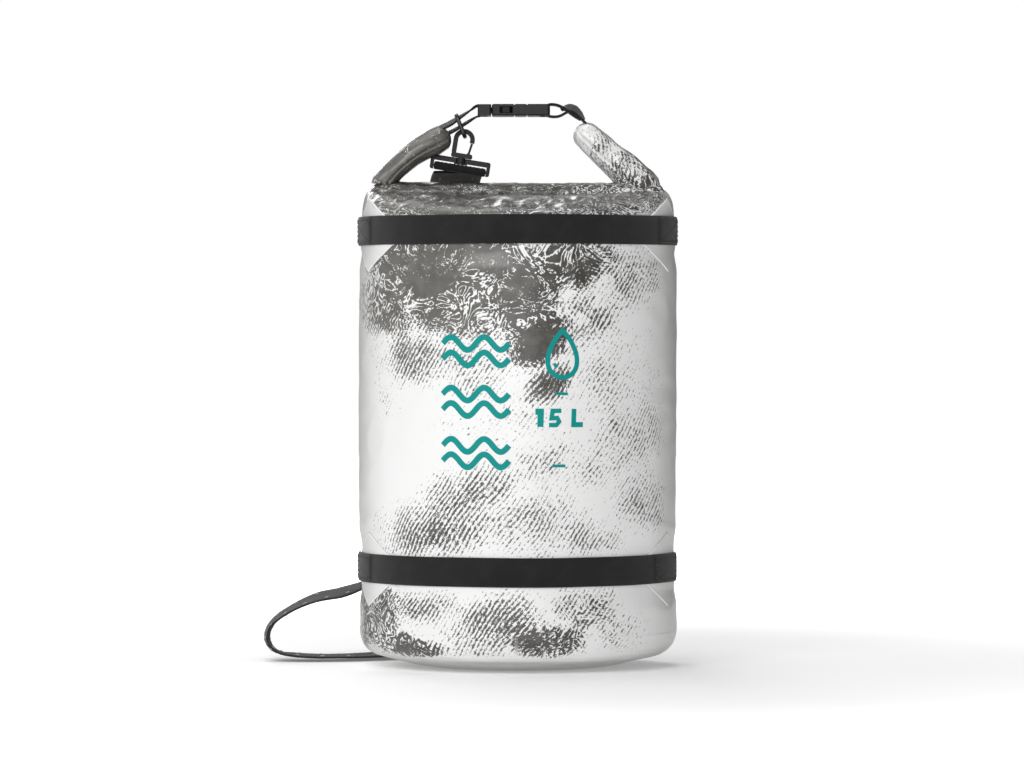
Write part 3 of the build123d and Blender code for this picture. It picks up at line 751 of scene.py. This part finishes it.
# The top runs in from the wall's rim to the roll, with about 60 mm of fabric, and puckers on its way.
TOP_ROWS = 44
TOP_CLOTH = 60
for i in range(1, TOP_ROWS + 1):
    t = i / TOP_ROWS
    row, marks = [], []
    for j, a in enumerate(ANGLES):
        c, s = math.cos(a), math.sin(a)
        gusset = abs(c) ** 3
        start = wall_rim[j]
        end = np.array([104.0 * c, 11.0 * s, RIDGE_Z + 3.5 * gusset])
        lift = 9.5 + 10.0 * gusset
        corner = np.array([start[0] * 0.995, start[1] * 0.985, start[2] + lift])
        here = (1 - t) ** 2 * start + 2 * t * (1 - t) * corner + t * t * end
        ripple = math.sin(math.pi * min(1, t * 1.05)) * (
            abs(wrinkle(here[0], here[1], here[2], 17, 4)) * 4.2
            + wrinkle(here[0] * 1.4, here[1], here[2], 8, 6) * 1.5
            - abs(wrinkle(here[0], here[1] * 0.4, 0, 11, 13)) * 2.8
        )
        here = here + np.array([0, 0, ripple * 0.75])
        row.append(here)
        marks.append(((a + math.pi / 2) * BAG_R, WALL_TOP + t * TOP_CLOTH, 0.0))
    rows.append(np.array(row))
    cloth.append(np.array(marks))
wall_points = np.array(rows)
# The cloth coordinates meet at the hidden seam behind, where the tape is.
wall_cloth = np.array(cloth)
wall_arc = wall_cloth[..., 0]
wall_cloth[..., 0] = np.where(wall_arc > math.pi * BAG_R, wall_arc - 2 * math.pi * BAG_R, wall_arc)
bag_wall = grid_object("bag_wall", wall_points, PRINTED, wall_cloth, closed=True, extra=with_ink(wall_points))
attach(bag_wall, "bag")
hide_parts("body_shell")

# The base's outline from the wall in to its middle, as radius and height.
BASE_PROFILE = [
    (115.7, 28.6), (116.25, 27.0), (116.1, 24.5), (115.3, 20.5), (113.2, 16.0), (109.8, 12.2),
    (105.2, 9.4), (100.0, 7.9), (94.0, 6.6), (86.0, 4.6), (76.0, 2.2), (68.0, 0.8), (60.0, 0.15),
    (46.0, 0.0), (30.0, 0.0), (14.0, 0.0), (3.0, 0.0),
]
rows, cloth = [], []
run = 0.0
base_line = resample([(r, 0, z) for r, z in BASE_PROFILE], 1.6)
for index, (r, _, z) in enumerate(base_line):
    if index:
        run += float(np.linalg.norm(base_line[index] - base_line[index - 1]))
    row, marks = [], []
    for a in ANGLES:
        x, y = math.cos(a) * r, math.sin(a) * r
        edge = float(smooth01((r - 66) / 20) * smooth01((28 - z) / 10))
        swell = (wrinkle(x, y, z, 26, 1) * 1.3 + wrinkle(x, y, z, 9, 7) * 0.45) * edge
        fit = 1 + (wall_bulge(a, WALL_BOTTOM) - 0.25) / BAG_R * float(smooth01((z - 12) / 14))
        inward = float(smooth01((26.5 - z) / 8))
        grow = fit * (1 + swell * 0.004 * inward)
        row.append((x * grow, y * grow, max(0.0, z + max(-0.3, swell) * 0.6 * inward)))
        marks.append(((a + math.pi / 2) * BAG_R, WALL_BOTTOM - run, 0.0))
    rows.append(row)
    cloth.append(marks)
base_points = np.array(rows)
base_ink = with_ink(base_points)
bag_base = grid_object("bag_base", base_points, PRINTED, np.array(cloth), closed=True, extra=base_ink)
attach(bag_base, "bag")
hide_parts("base_panel")


def on_wall(arc, z, off):
    """A point this far off the wall, from its arc length from the middle of the front."""
    a = arc / BAG_R - math.pi / 2
    r = BAG_R + wall_bulge(a, z) + off
    return np.array([r * math.cos(a), r * math.sin(a), z])


# ---- diamonds under the bands' ends
def welded(name, node, middle, us, vs, place, depth, cloth_at=0.0, layer=0.0):
    """A thin sheet welded to the wall. place(u, v) gives its arc length from the middle, its height and
    how far it stands off. depth is its thickness in metres."""
    rows, marks = [], []
    for v in vs:
        spots = [place(u, v) for u in us]
        rows.append([on_wall(middle + arc, z, lift) for arc, z, lift in spots])
        marks.append([(cloth_at + arc, z, layer) for arc, z, _ in spots])
    obj = grid_object(name, np.array(rows), PLAIN, np.array(marks))
    solid = obj.modifiers.new("thickness", "SOLIDIFY")
    solid.thickness = depth
    solid.offset = 1
    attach(obj, "bag")
    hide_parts(node)


DIAMOND_HALF_W = 49.0
DIAMOND_HALF_H = 27.0
DIAMOND_STEPS = np.arange(-26, 27) / 26


def diamond(name, degrees, middle_z, node):
    """A welded patch with a raised, rounded edge."""

    def place(u, v):
        width = DIAMOND_HALF_W * (1 - abs(v))
        margin = min((1 - abs(u)) * (width + 0.01), (1 - abs(v)) * DIAMOND_HALF_H * 1.2)
        lift = 0.42 * float(smooth01(margin / 0.9)) + 0.25 * math.exp(-((margin - 1.6) ** 2) / 0.5)
        return u * width, middle_z + v * DIAMOND_HALF_H, 0.04 + lift

    middle = (math.radians(degrees) + math.pi / 2) * BAG_R
    welded(name, node, middle, DIAMOND_STEPS, DIAMOND_STEPS, place, 0.0003, middle, 7.0)


for level, middle_z in (("upper", UPPER_DIAMOND_Z), ("lower", LOWER_DIAMOND_Z)):
    for side, degrees in (("left", 201), ("right", 339)):
        diamond(f"{level}_{side}_diamond_patch", degrees, middle_z, f"{level}_{side}_diamond")


# ---- bands
def band(name, middle_z, first, last, node):
    """Webbing round the front, with its ends turned under and sewn down in a crossed box."""
    angles = np.radians(np.arange(first, last + 0.1, 1.0))
    line, thickness = [], []
    for a in angles:
        end = min(abs(a - angles[0]), abs(a - angles[-1])) * BAG_R
        fold = 1 - float(smooth01((end - 44) / 5))
        thickness.append(WEB_T + 0.8 * fold)
        sway = 0.25 * wrinkle(a * BAG_R, middle_z, 0, 30, 3)
        r = BAG_R - BAND_PINCH + BAND_GAP + WEB_T / 2 + 0.4 * fold + sway
        z = middle_z + 0.35 * wrinkle(a * BAG_R, middle_z, 5, 50, 9)
        line.append((r * math.cos(a), r * math.sin(a), z))
    line = np.array(line)
    up = np.tile([0.0, 0.0, 1.0], (len(line), 1))
    obj = ribbon(name, line, up, BAND_W, curl=-0.25, wave=0.15, thickness=thickness)
    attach(obj, "bag")
    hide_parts(node)
    for side, edge, way in (("left", first, 1), ("right", last, -1)):
        near, far = edge + way * 1.2, edge + way * 22.5
        low, high = middle_z - 8.3, middle_z + 8.3
        places = []
        for (a0, z0), (a1, z1) in crossed_box([(near, low), (far, low), (far, high), (near, high)]):
            sweep = math.radians(a1 - a0) * BAG_R
            count = int(math.hypot(sweep, z1 - z0) / STITCH_PITCH)
            for k in range(count):
                t = (k + 0.5) / count
                a = math.radians(a0 + (a1 - a0) * t)
                out = (math.cos(a), math.sin(a), 0)
                along = Vector((-math.sin(a) * sweep, math.cos(a) * sweep, z1 - z0))
                r = BAG_R - BAND_PINCH + BAND_GAP + WEB_T + 0.72
                places.append(((r * out[0], r * out[1], z0 + (z1 - z0) * t), along, out))
        stitches(f"{name}_{side}_stitches", places, THREAD, "bag", length=2.4)


band("upper_band_webbing", UPPER_BAND_Z, 181, 354, "upper_band")
band("lower_band_webbing", LOWER_BAND_Z, 181, 351, "lower_band")


# ---- roll and horns
SECTION_POINTS = 56
# The roll's last turn ends in a step this high, at this angle round its section.
ROLL_STEP = 1.2
STEP_AT = -2.5


def roll_section(half_w, half_t):
    """Points round the roll's flattened section, with the step where the last turn ends."""
    points = []
    for k in range(SECTION_POINTS):
        turn = 2 * math.pi * k / SECTION_POINTS + STEP_AT
        c, s = math.cos(turn), math.sin(turn)
        grow = 1 + (k / SECTION_POINTS - 0.5) * ROLL_STEP / half_t
        x = math.copysign(abs(c) ** 0.62, c) * half_w
        y = math.copysign(abs(s) ** 0.86, s) * half_t
        points.append((x * (1 + (grow - 1) * 0.35), y * grow))
    return points


def rolled(name, centres, half_w, half_t, ends, rough, seed, ink, groove=0.0, hatching=0.08,
           long_folds=1.0, mark_at=(60.0, 0.0)):
    """A flattened roll of fabric along a line in the XZ plane. ends are how far each end rounds off,
    ink gives the ink at a place and share of the length, and mark_at is where its print starts."""
    centres = np.array([(x, 0.0, z) for x, z in centres])
    line = resample(centres, 1.4)
    share = np.linspace(0, 1, len(line))
    given = np.concatenate([[0], np.cumsum(np.linalg.norm(np.diff(centres, axis=0), axis=1))])
    given /= given[-1]
    wide = np.interp(share, given, half_w)
    thick = np.interp(share, given, half_t)
    tangents = np.gradient(line, axis=0)
    tangents /= np.linalg.norm(tangents, axis=1)[:, None]
    length = given[-1] * np.linalg.norm(np.diff(centres, axis=0), axis=1).sum()
    rows, cloth, inks, hatches = [], [], [], []
    for i, here in enumerate(line):
        tangent = tangents[i]
        up = np.array([-tangent[2], 0.0, tangent[0]])
        if up[2] < 0:
            up = -up
        run = share[i] * length
        squeeze = 1.0
        for gap, reach in ((run, ends[0]), (length - run, ends[1])):
            if reach and gap < reach:
                squeeze *= math.sqrt(max(0.04, 1 - (1 - gap / reach) ** 2))
        row, marks, ink_row, hatch_row = [], [], [], []
        for k, (y, n) in enumerate(roll_section(wide[i], thick[i])):
            place = here + np.array([0, y, 0]) * (0.55 + 0.45 * squeeze) + up * n * squeeze
            fold = abs(noise.noise(Vector((run / (13 * long_folds), y / 9, n / 8 + seed)))) * 2.6 - 0.7
            small = noise.noise(Vector((run / (6 * long_folds) + seed, y / 5, n / 5))) * 0.8
            push = (fold + small) * rough
            if y < 0:
                push += groove * math.exp(-((n / thick[i] + 0.42) ** 2) / 0.018)
            out = np.array([0, y / wide[i], 0]) * 0.8 + up * n / thick[i]
            out /= np.linalg.norm(out) + 1e-6
            place = place - out * push
            row.append(place)
            marks.append((mark_at[0] - run, mark_at[1] + k * 1.9, seed))
            ink_row.append(ink(place, share[i]))
            hatch_row.append(hatching)
        rows.append(row)
        cloth.append(marks)
        inks.append(ink_row)
        hatches.append(hatch_row)
    return grid_object(name, np.array(rows), PRINTED, np.array(cloth), closed=True, caps=True,
                       extra={"ink": np.array(inks), "hatch": np.array(hatches)})


def roll_ink(place, _share):
    """Dark over the left and middle of the roll, thinning to the right."""
    base = 0.95 - 0.5 * float(smooth01((place[0] - 10) / 80))
    return base + 0.14 * wrinkle(*place, 12, 2)


mouth_roll = rolled(
    "mouth_roll",
    [(-108, 346.2), (-96, 347.0), (-60, 346.8), (-20, 346.4), (20, 346.2), (60, 346.4), (96, 346.6),
     (107, 345.8)],
    [17.0, 18.0, 18.2, 18.0, 18.0, 18.2, 18.0, 17.0],
    [6.6, 7.2, 7.2, 7.0, 7.0, 7.2, 7.2, 6.6],
    (7, 7), 0.5, 2.0, roll_ink,
)
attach(mouth_roll, "bag")
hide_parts("roll_middle")

left_horn = rolled(
    "left_horn",
    [(-91, 337.0), (-97.5, 345.0), (-98.5, 353.5), (-92, 361.8), (-84.5, 368.6), (-76.5, 374.8),
     (-69.3, 379.4), (-62, 383.2), (-55, 387.0), (-50.0, 389.6)],
    [13.0, 16.0, 17.5, 18.2, 18.4, 18.2, 17.8, 17.0, 15.0, 12.8],
    [8.0, 9.5, 8.8, 8.2, 8.2, 8.6, 9.3, 9.8, 9.0, 7.2],
    (5, 6), 0.55, 5.0, lambda place, share: 1.02 + 0.30 * wrinkle(*place, 7, 6),
    groove=2.0, long_folds=3.2, mark_at=(-50.0, 258.0),
)
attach(left_horn, "bag")
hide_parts("roll_end_left")

right_horn = rolled(
    "right_horn",
    [(86, 334.0), (91.5, 343.0), (90.5, 350.5), (84, 357.5), (77, 364.0), (70, 370.0), (63, 376.0),
     (56, 382.5), (49, 389.2), (43.5, 395.0)],
    [13.0, 16.0, 17.5, 18.2, 18.4, 18.4, 18.2, 17.6, 16.0, 13.0],
    [10.0, 12.5, 13.6, 12.8, 12.0, 11.2, 10.6, 10.2, 9.4, 7.4],
    (6, 7), 0.85, 9.0, lambda place, share: 0.66 - 0.36 * share + 0.25 * wrinkle(*place, 10, 4),
    groove=1.8, hatching=0.6, long_folds=1.6,
)
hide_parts("roll_end_right")
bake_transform(right_horn)


# Bar tacks near both edges of the shoulder strap, on both its faces.
TACK_GAP = 17.0
TACK_OFF = 12.0
steps_between = np.linalg.norm(np.diff(strap_points, axis=0), axis=1)
strap_run = np.concatenate([[0], np.cumsum(steps_between)])
strap_way = np.gradient(strap_points, axis=0)
places = []
for distance in np.arange(30.0, strap_run[-1] - 25.0, TACK_GAP):
    here, way, across = (
        np.array([np.interp(distance, strap_run, values[:, axis]) for axis in range(3)])
        for values in (strap_points, strap_way, strap_widths)
    )
    way /= np.linalg.norm(way)
    across -= (across * way).sum() * way
    across /= np.linalg.norm(across)
    outward = np.cross(across, way)
    for side in (-TACK_OFF, TACK_OFF):
        for lift in (outward, -outward):
            places.append((here + across * side + lift * (WEB_T / 2 + 0.1), way, lift))
stitches("strap_tacks", places, PALE_THREAD, "bag", length=3.2)


# ---- closure webbing
def closure_web(name, points, body, node=None, tilt=None, wave=0.15):
    """Webbing along a smooth line in the XZ plane. tilt turns it in degrees, at shares of its length."""
    line = spline([(x, 0.0, z) for x, z in points], 1.2)
    across = np.tile([0.0, 1.0, 0.0], (len(line), 1))
    if tilt:
        share = np.linspace(0, 1, len(line))
        turn = np.radians(np.interp(share, [t[0] for t in tilt], [t[1] for t in tilt]))
        across = np.stack([np.zeros(len(line)), np.cos(turn), np.sin(turn)], axis=1)
    obj = ribbon(name, line, across, CLOSURE_W, wave=wave)
    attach(obj, body)
    if node:
        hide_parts(node)


closure_web(
    "left_webbing",
    [(-64, 388.5), (-58, 393.8), (-52, 395.8), (-44, 401.0), (-34, 407.4), (-31.2, 409.9), (-27.6, 410.7),
     (-25.0, 408.6), (-24.8, 405.4), (-27.0, 402.9), (-30.6, 402.4), (-38, 397.6), (-46, 392.6), (-53, 389.4),
     (-60, 386.0)],
    "bag", "left_closure_webbing",
    tilt=[(0, 10), (0.20, 13), (0.34, 6), (0.42, 0), (0.58, 0), (0.70, 7), (1, 9)],
)
closure_web(
    "right_webbing",
    [(50, 397.0), (45, 402.0), (40, 406.2), (36, 405.8), (31, 402.6), (26.5, 402.0), (22.0, 402.6),
     (19.0, 404.8), (18.9, 408.4), (21.4, 410.9), (26, 411.4), (31.5, 409.8), (36.5, 406.2), (41, 402.6),
     (46, 400.0)],
    "socket_end", "right_closure_webbing",
)
closure_web(
    "right_webbing_fold",
    [(31.5, 407.4), (34.5, 408.6), (37.5, 409.2), (41.0, 407.4), (45.0, 403.8), (48.5, 400.0)],
    "socket_end", tilt=[(0, 6), (0.25, 14), (0.5, 26), (0.75, 22), (1, 6)], wave=0.3,
)


# ---- webbing loops, tab and tape
def loop_line(origin, pull, up, depth, height, length):
    """The middle line of webbing round a bar: out along the top of it, round its far side and back."""
    origin, pull, up = (np.array(v, dtype=float) for v in (origin, pull, up))
    pull /= np.linalg.norm(pull)
    up -= (up * pull).sum() * pull
    up /= np.linalg.norm(up)
    half = height / 2 + 0.35 + WEB_T / 2
    back = depth / 2 - height / 2 + 0.4
    points = [origin + pull * length + up * (half - 0.9)]
    points.append(origin + pull * (length * 0.45) + up * half)
    for k in range(13):
        turn = math.pi / 2 + math.pi * k / 12
        points.append(origin - pull * back + (pull * math.cos(turn) + up * math.sin(turn)) * half)
    points.append(origin + pull * (length * 0.45) - up * half)
    points.append(origin + pull * length - up * (half - 0.9))
    return resample(points, 0.6)


# The hook leans, and its webbing loop goes round a bar this far below the swivel.
HOOK_LEAN = math.radians(9.0)
SWIVEL = np.array([-41.5718, 0.0, 371.6670])
BAR_BELOW_SWIVEL = 7.7
hook_x = np.array([math.cos(HOOK_LEAN), 0, -math.sin(HOOK_LEAN)])
hook_up = np.array([math.sin(HOOK_LEAN), 0, math.cos(HOOK_LEAN)])
low_bar = SWIVEL - hook_up * BAR_BELOW_SWIVEL
line = loop_line(low_bar, (0, 1, 0), hook_up, 6.4, 2.2, 17.0)
upper_loop = ribbon("strap_upper_loop_webbing", line, np.tile(hook_x, (len(line), 1)), STRAP_W)
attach(upper_loop, "hook_foot")
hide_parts("strap_upper_loop")
stitches(
    "upper_loop_stitches",
    [(low_bar + hook_x * x + np.array([0, y, 0]) + hook_up * 2.9, hook_x, hook_up)
     for y in (8.5, 12.0) for x in np.arange(-16.5, 17, 3.0)],
    PALE_THREAD, "hook_foot", length=2.2,
)

ring_bar = np.array([0.0, RING_Y, STRAP_BAR_Z])
pull = np.array([0, 0.5, -0.87]) / math.hypot(0.5, 0.87)
out_way = np.array([0, 0.87, 0.5])
line = loop_line(ring_bar, pull, out_way, 4.0, 4.0, 20.0)
lower_loop = ribbon("strap_lower_loop_webbing", line, np.tile([1.0, 0, 0], (len(line), 1)), STRAP_W)
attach(lower_loop, "low_ring")
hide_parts("strap_lower_loop")
stitches(
    "lower_loop_stitches",
    [(ring_bar + pull * d + out_way * 3.5 + np.array([x, 0, 0]), (1, 0, 0), out_way)
     for d in (9.5, 13.5) for x in np.arange(-16.5, 17, 3.0)],
    PALE_THREAD, "low_ring", length=2.2,
)

# Tab: webbing folded round the ring's straight bar and sewn to its patch.
TAB_W = 37.0
tab_path = [(117.9, 93.0), (117.9, 78.0), (118.0, 64.0), (118.3, 61.0)]
for a in np.linspace(0.3, math.pi - 0.2, 10):
    tab_path.append((RING_Y - 3.0 * math.cos(a), TAB_BAR_Z - 3.0 * math.sin(a)))
tab_path += [(123.4, 65.0), (120.6, 72.0), (119.6, 80.0), (119.5, 92.5)]
line = resample([(0.0, y, z) for y, z in tab_path], 0.9)
lower_tab = ribbon("lower_tab_webbing", line, np.tile([1.0, 0, 0], (len(line), 1)), TAB_W)
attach(lower_tab, "bag")
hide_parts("lower_tab")
places = []
for (x0, z0), (x1, z1) in crossed_box([(-16, 74), (16, 74), (16, 90), (-16, 90)]):
    count = int(math.hypot(x1 - x0, z1 - z0) / STITCH_PITCH)
    for k in range(count):
        t = (k + 0.5) / count
        places.append(((x0 + (x1 - x0) * t, 120.5, z0 + (z1 - z0) * t), (x1 - x0, 0, z1 - z0), (0, 1, 0)))
stitches("lower_tab_stitches", places, THREAD, "bag", length=2.4)

# Tape over the seam down the back.
TAPE_W = 20.0
BACK = math.pi * BAG_R


def tape_place(u, z):
    margin = (1 - abs(u)) * TAPE_W / 2
    lift = 0.12 + 0.34 * float(smooth01(margin / 0.8)) + 0.12 * wrinkle(u * 10, z, 0, 9, 5)
    return u * TAPE_W / 2, z, lift


welded("back_seam_tape_welded", "back_seam_tape", BACK,
       np.linspace(-1, 1, 21), np.arange(46.0, 328.5, 2.0), tape_place, 0.0002, layer=21.0)

# Welded patch behind the tab, with rounded corners.
PATCH_Z = 77.0
PATCH_HALF_W = 32
PATCH_HALF_H = 23
PATCH_CORNER = 8


def patch_place(u, v):
    wide, high = abs(u) * PATCH_HALF_W, abs(v) * PATCH_HALF_H
    flat_w, flat_h = PATCH_HALF_W - PATCH_CORNER, PATCH_HALF_H - PATCH_CORNER
    past_w, past_h = max(0.0, wide - flat_w), max(0.0, high - flat_h)
    corner = past_w**2 + past_h**2
    pull_in = 1 if corner <= PATCH_CORNER**2 else PATCH_CORNER / math.sqrt(corner)
    arc = math.copysign(min(wide, flat_w + past_w * pull_in), u)
    z = PATCH_Z + math.copysign(min(high, flat_h + past_h * pull_in), v)
    margin = min(PATCH_HALF_W - abs(arc), PATCH_HALF_H - abs(z - PATCH_Z))
    lift = 0.15 + 0.55 * float(smooth01(margin / 1.0)) + 0.2 * math.exp(-((margin - 2.2) ** 2) / 0.6)
    return arc, z, lift


welded("lower_patch_welded", "lower_patch", BACK,
       np.linspace(-1, 1, 41), np.linspace(-1, 1, 31), patch_place, 0.0004, layer=12.0)


# ---- printed marks
def mark(name, lines, width):
    """Ribbons of ink on the wall along lines of (arc, z) points, in mm. A closed line repeats its start."""
    bm = bmesh.new()
    for points in lines:
        pieces = [resample([(*one, 0.0), (*two, 0.0)], 0.9)[:, :2] for one, two in zip(points, points[1:])]
        flat = np.concatenate([piece[:-1] for piece in pieces] + [pieces[-1][-1:]])
        ring = np.linalg.norm(flat[0] - flat[-1]) < 1e-6
        if ring:
            flat = flat[:-1]
        count = len(flat)
        pairs = []
        for i, here in enumerate(flat):
            before = flat[i - 1] if (ring or i) else here
            after = flat[(i + 1) % count] if (ring or i < count - 1) else here
            come, go = here - before, after - here
            come, go = (w / max(np.linalg.norm(w), 1e-9) for w in (come, go))
            way = (come + go) / np.linalg.norm(come + go)
            mitre = 1 / max(0.45, (way * (go if go.any() else come)).sum())
            side = np.array([-way[1], way[0]]) * width / 2 * mitre
            pairs.append([
                bm.verts.new(tuple(on_wall(*(here + side * share), lift) * MM))
                for share, lift in ((1, 0.02), (1, 0.16), (0, 0.18), (-1, 0.16), (-1, 0.02))
            ])
        steps = list(zip(pairs, pairs[1:])) + ([(pairs[-1], pairs[0])] if ring else [])
        for one, two in steps:
            for k in range(4):
                bm.faces.new((one[k], one[k + 1], two[k + 1], two[k]))
    obj = object_from(bm, name, TEAL)
    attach(obj, "bag")


def arc_of(x):
    """Arc length on the wall for a place x across the front."""
    return math.asin(max(-1, min(1, x / BAG_R))) * BAG_R


# Rows of paired wave lines across the front: their two ends, how far apart a pair is and its height.
WAVE_ENDS = (-53.5, -6.5)
WAVE_APART = 5.5
WAVE_HEIGHT = 4.6
WAVES = 2


def wave_line(z):
    x0, x1 = WAVE_ENDS
    line = []
    for t in np.linspace(0, 1, 60):
        line.append((arc_of(x0 + (x1 - x0) * t), z + WAVE_HEIGHT * math.sin(2 * math.pi * WAVES * t)))
    return line


for number, z in enumerate((231.0, 195.0, 158.5)):
    mark(f"wave_mark_{number + 1}", [wave_line(z + WAVE_APART), wave_line(z - WAVE_APART)], 4.2)

# An outlined drop with a glint in it.
DROP_ARC = arc_of(31.5)
drop = []
for t in np.linspace(0, 2 * math.pi, 90):
    wide = 13.6 * math.sin(t) * (0.5 - 0.5 * math.cos(t)) ** 0.42
    drop.append((DROP_ARC + wide, 229.0 + 16.6 * math.cos(t)))
mark("drop_mark", [drop], 3.4)
glint = [(DROP_ARC - 6.0 + 1.2 * t, 222.5 - 4.6 * t + 2.4 * t * t) for t in np.linspace(0, 1.7, 12)]
mark("drop_glint_mark", [glint], 2.2)

# The capacity, with a short bar above it and another below.
mark("upper_bar_mark", [[(arc_of(26.2), 201.0), (arc_of(35.2), 200.6)]], 2.0)
mark("lower_bar_mark", [[(arc_of(24.4), 149.4), (arc_of(33.6), 149.4)]], 2.0)
mark("capacity_mark_1", [[(12.2, 188.0), (16.1, 188.0), (15.8, 177.2)]], 4.4)
five = [(31.0, 188.6), (24.6, 188.6), (23.8, 183.3), (28.0, 183.5), (29.4, 180.9), (27.4, 178.5)]
mark("capacity_mark_5", [five + [(22.0, 178.5)]], 3.1)
mark("capacity_mark_L", [[(40.6, 190.0), (40.2, 178.7), (47.4, 178.7)]], 3.6)

# ---- looks of the CAD hardware
for look, names in (
    (BUCKLE, ("buckle_plug", "buckle_prong_front", "buckle_prong_back", "buckle_socket")),
    (HOOK, ("hook_frame", "hook_gate", "hook_base")),
    (WIRE, ("hanger_ring", "lower_ring")),
):
    for name in names:
        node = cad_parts[name]
        node.data.materials.clear()
        node.data.materials.append(look)
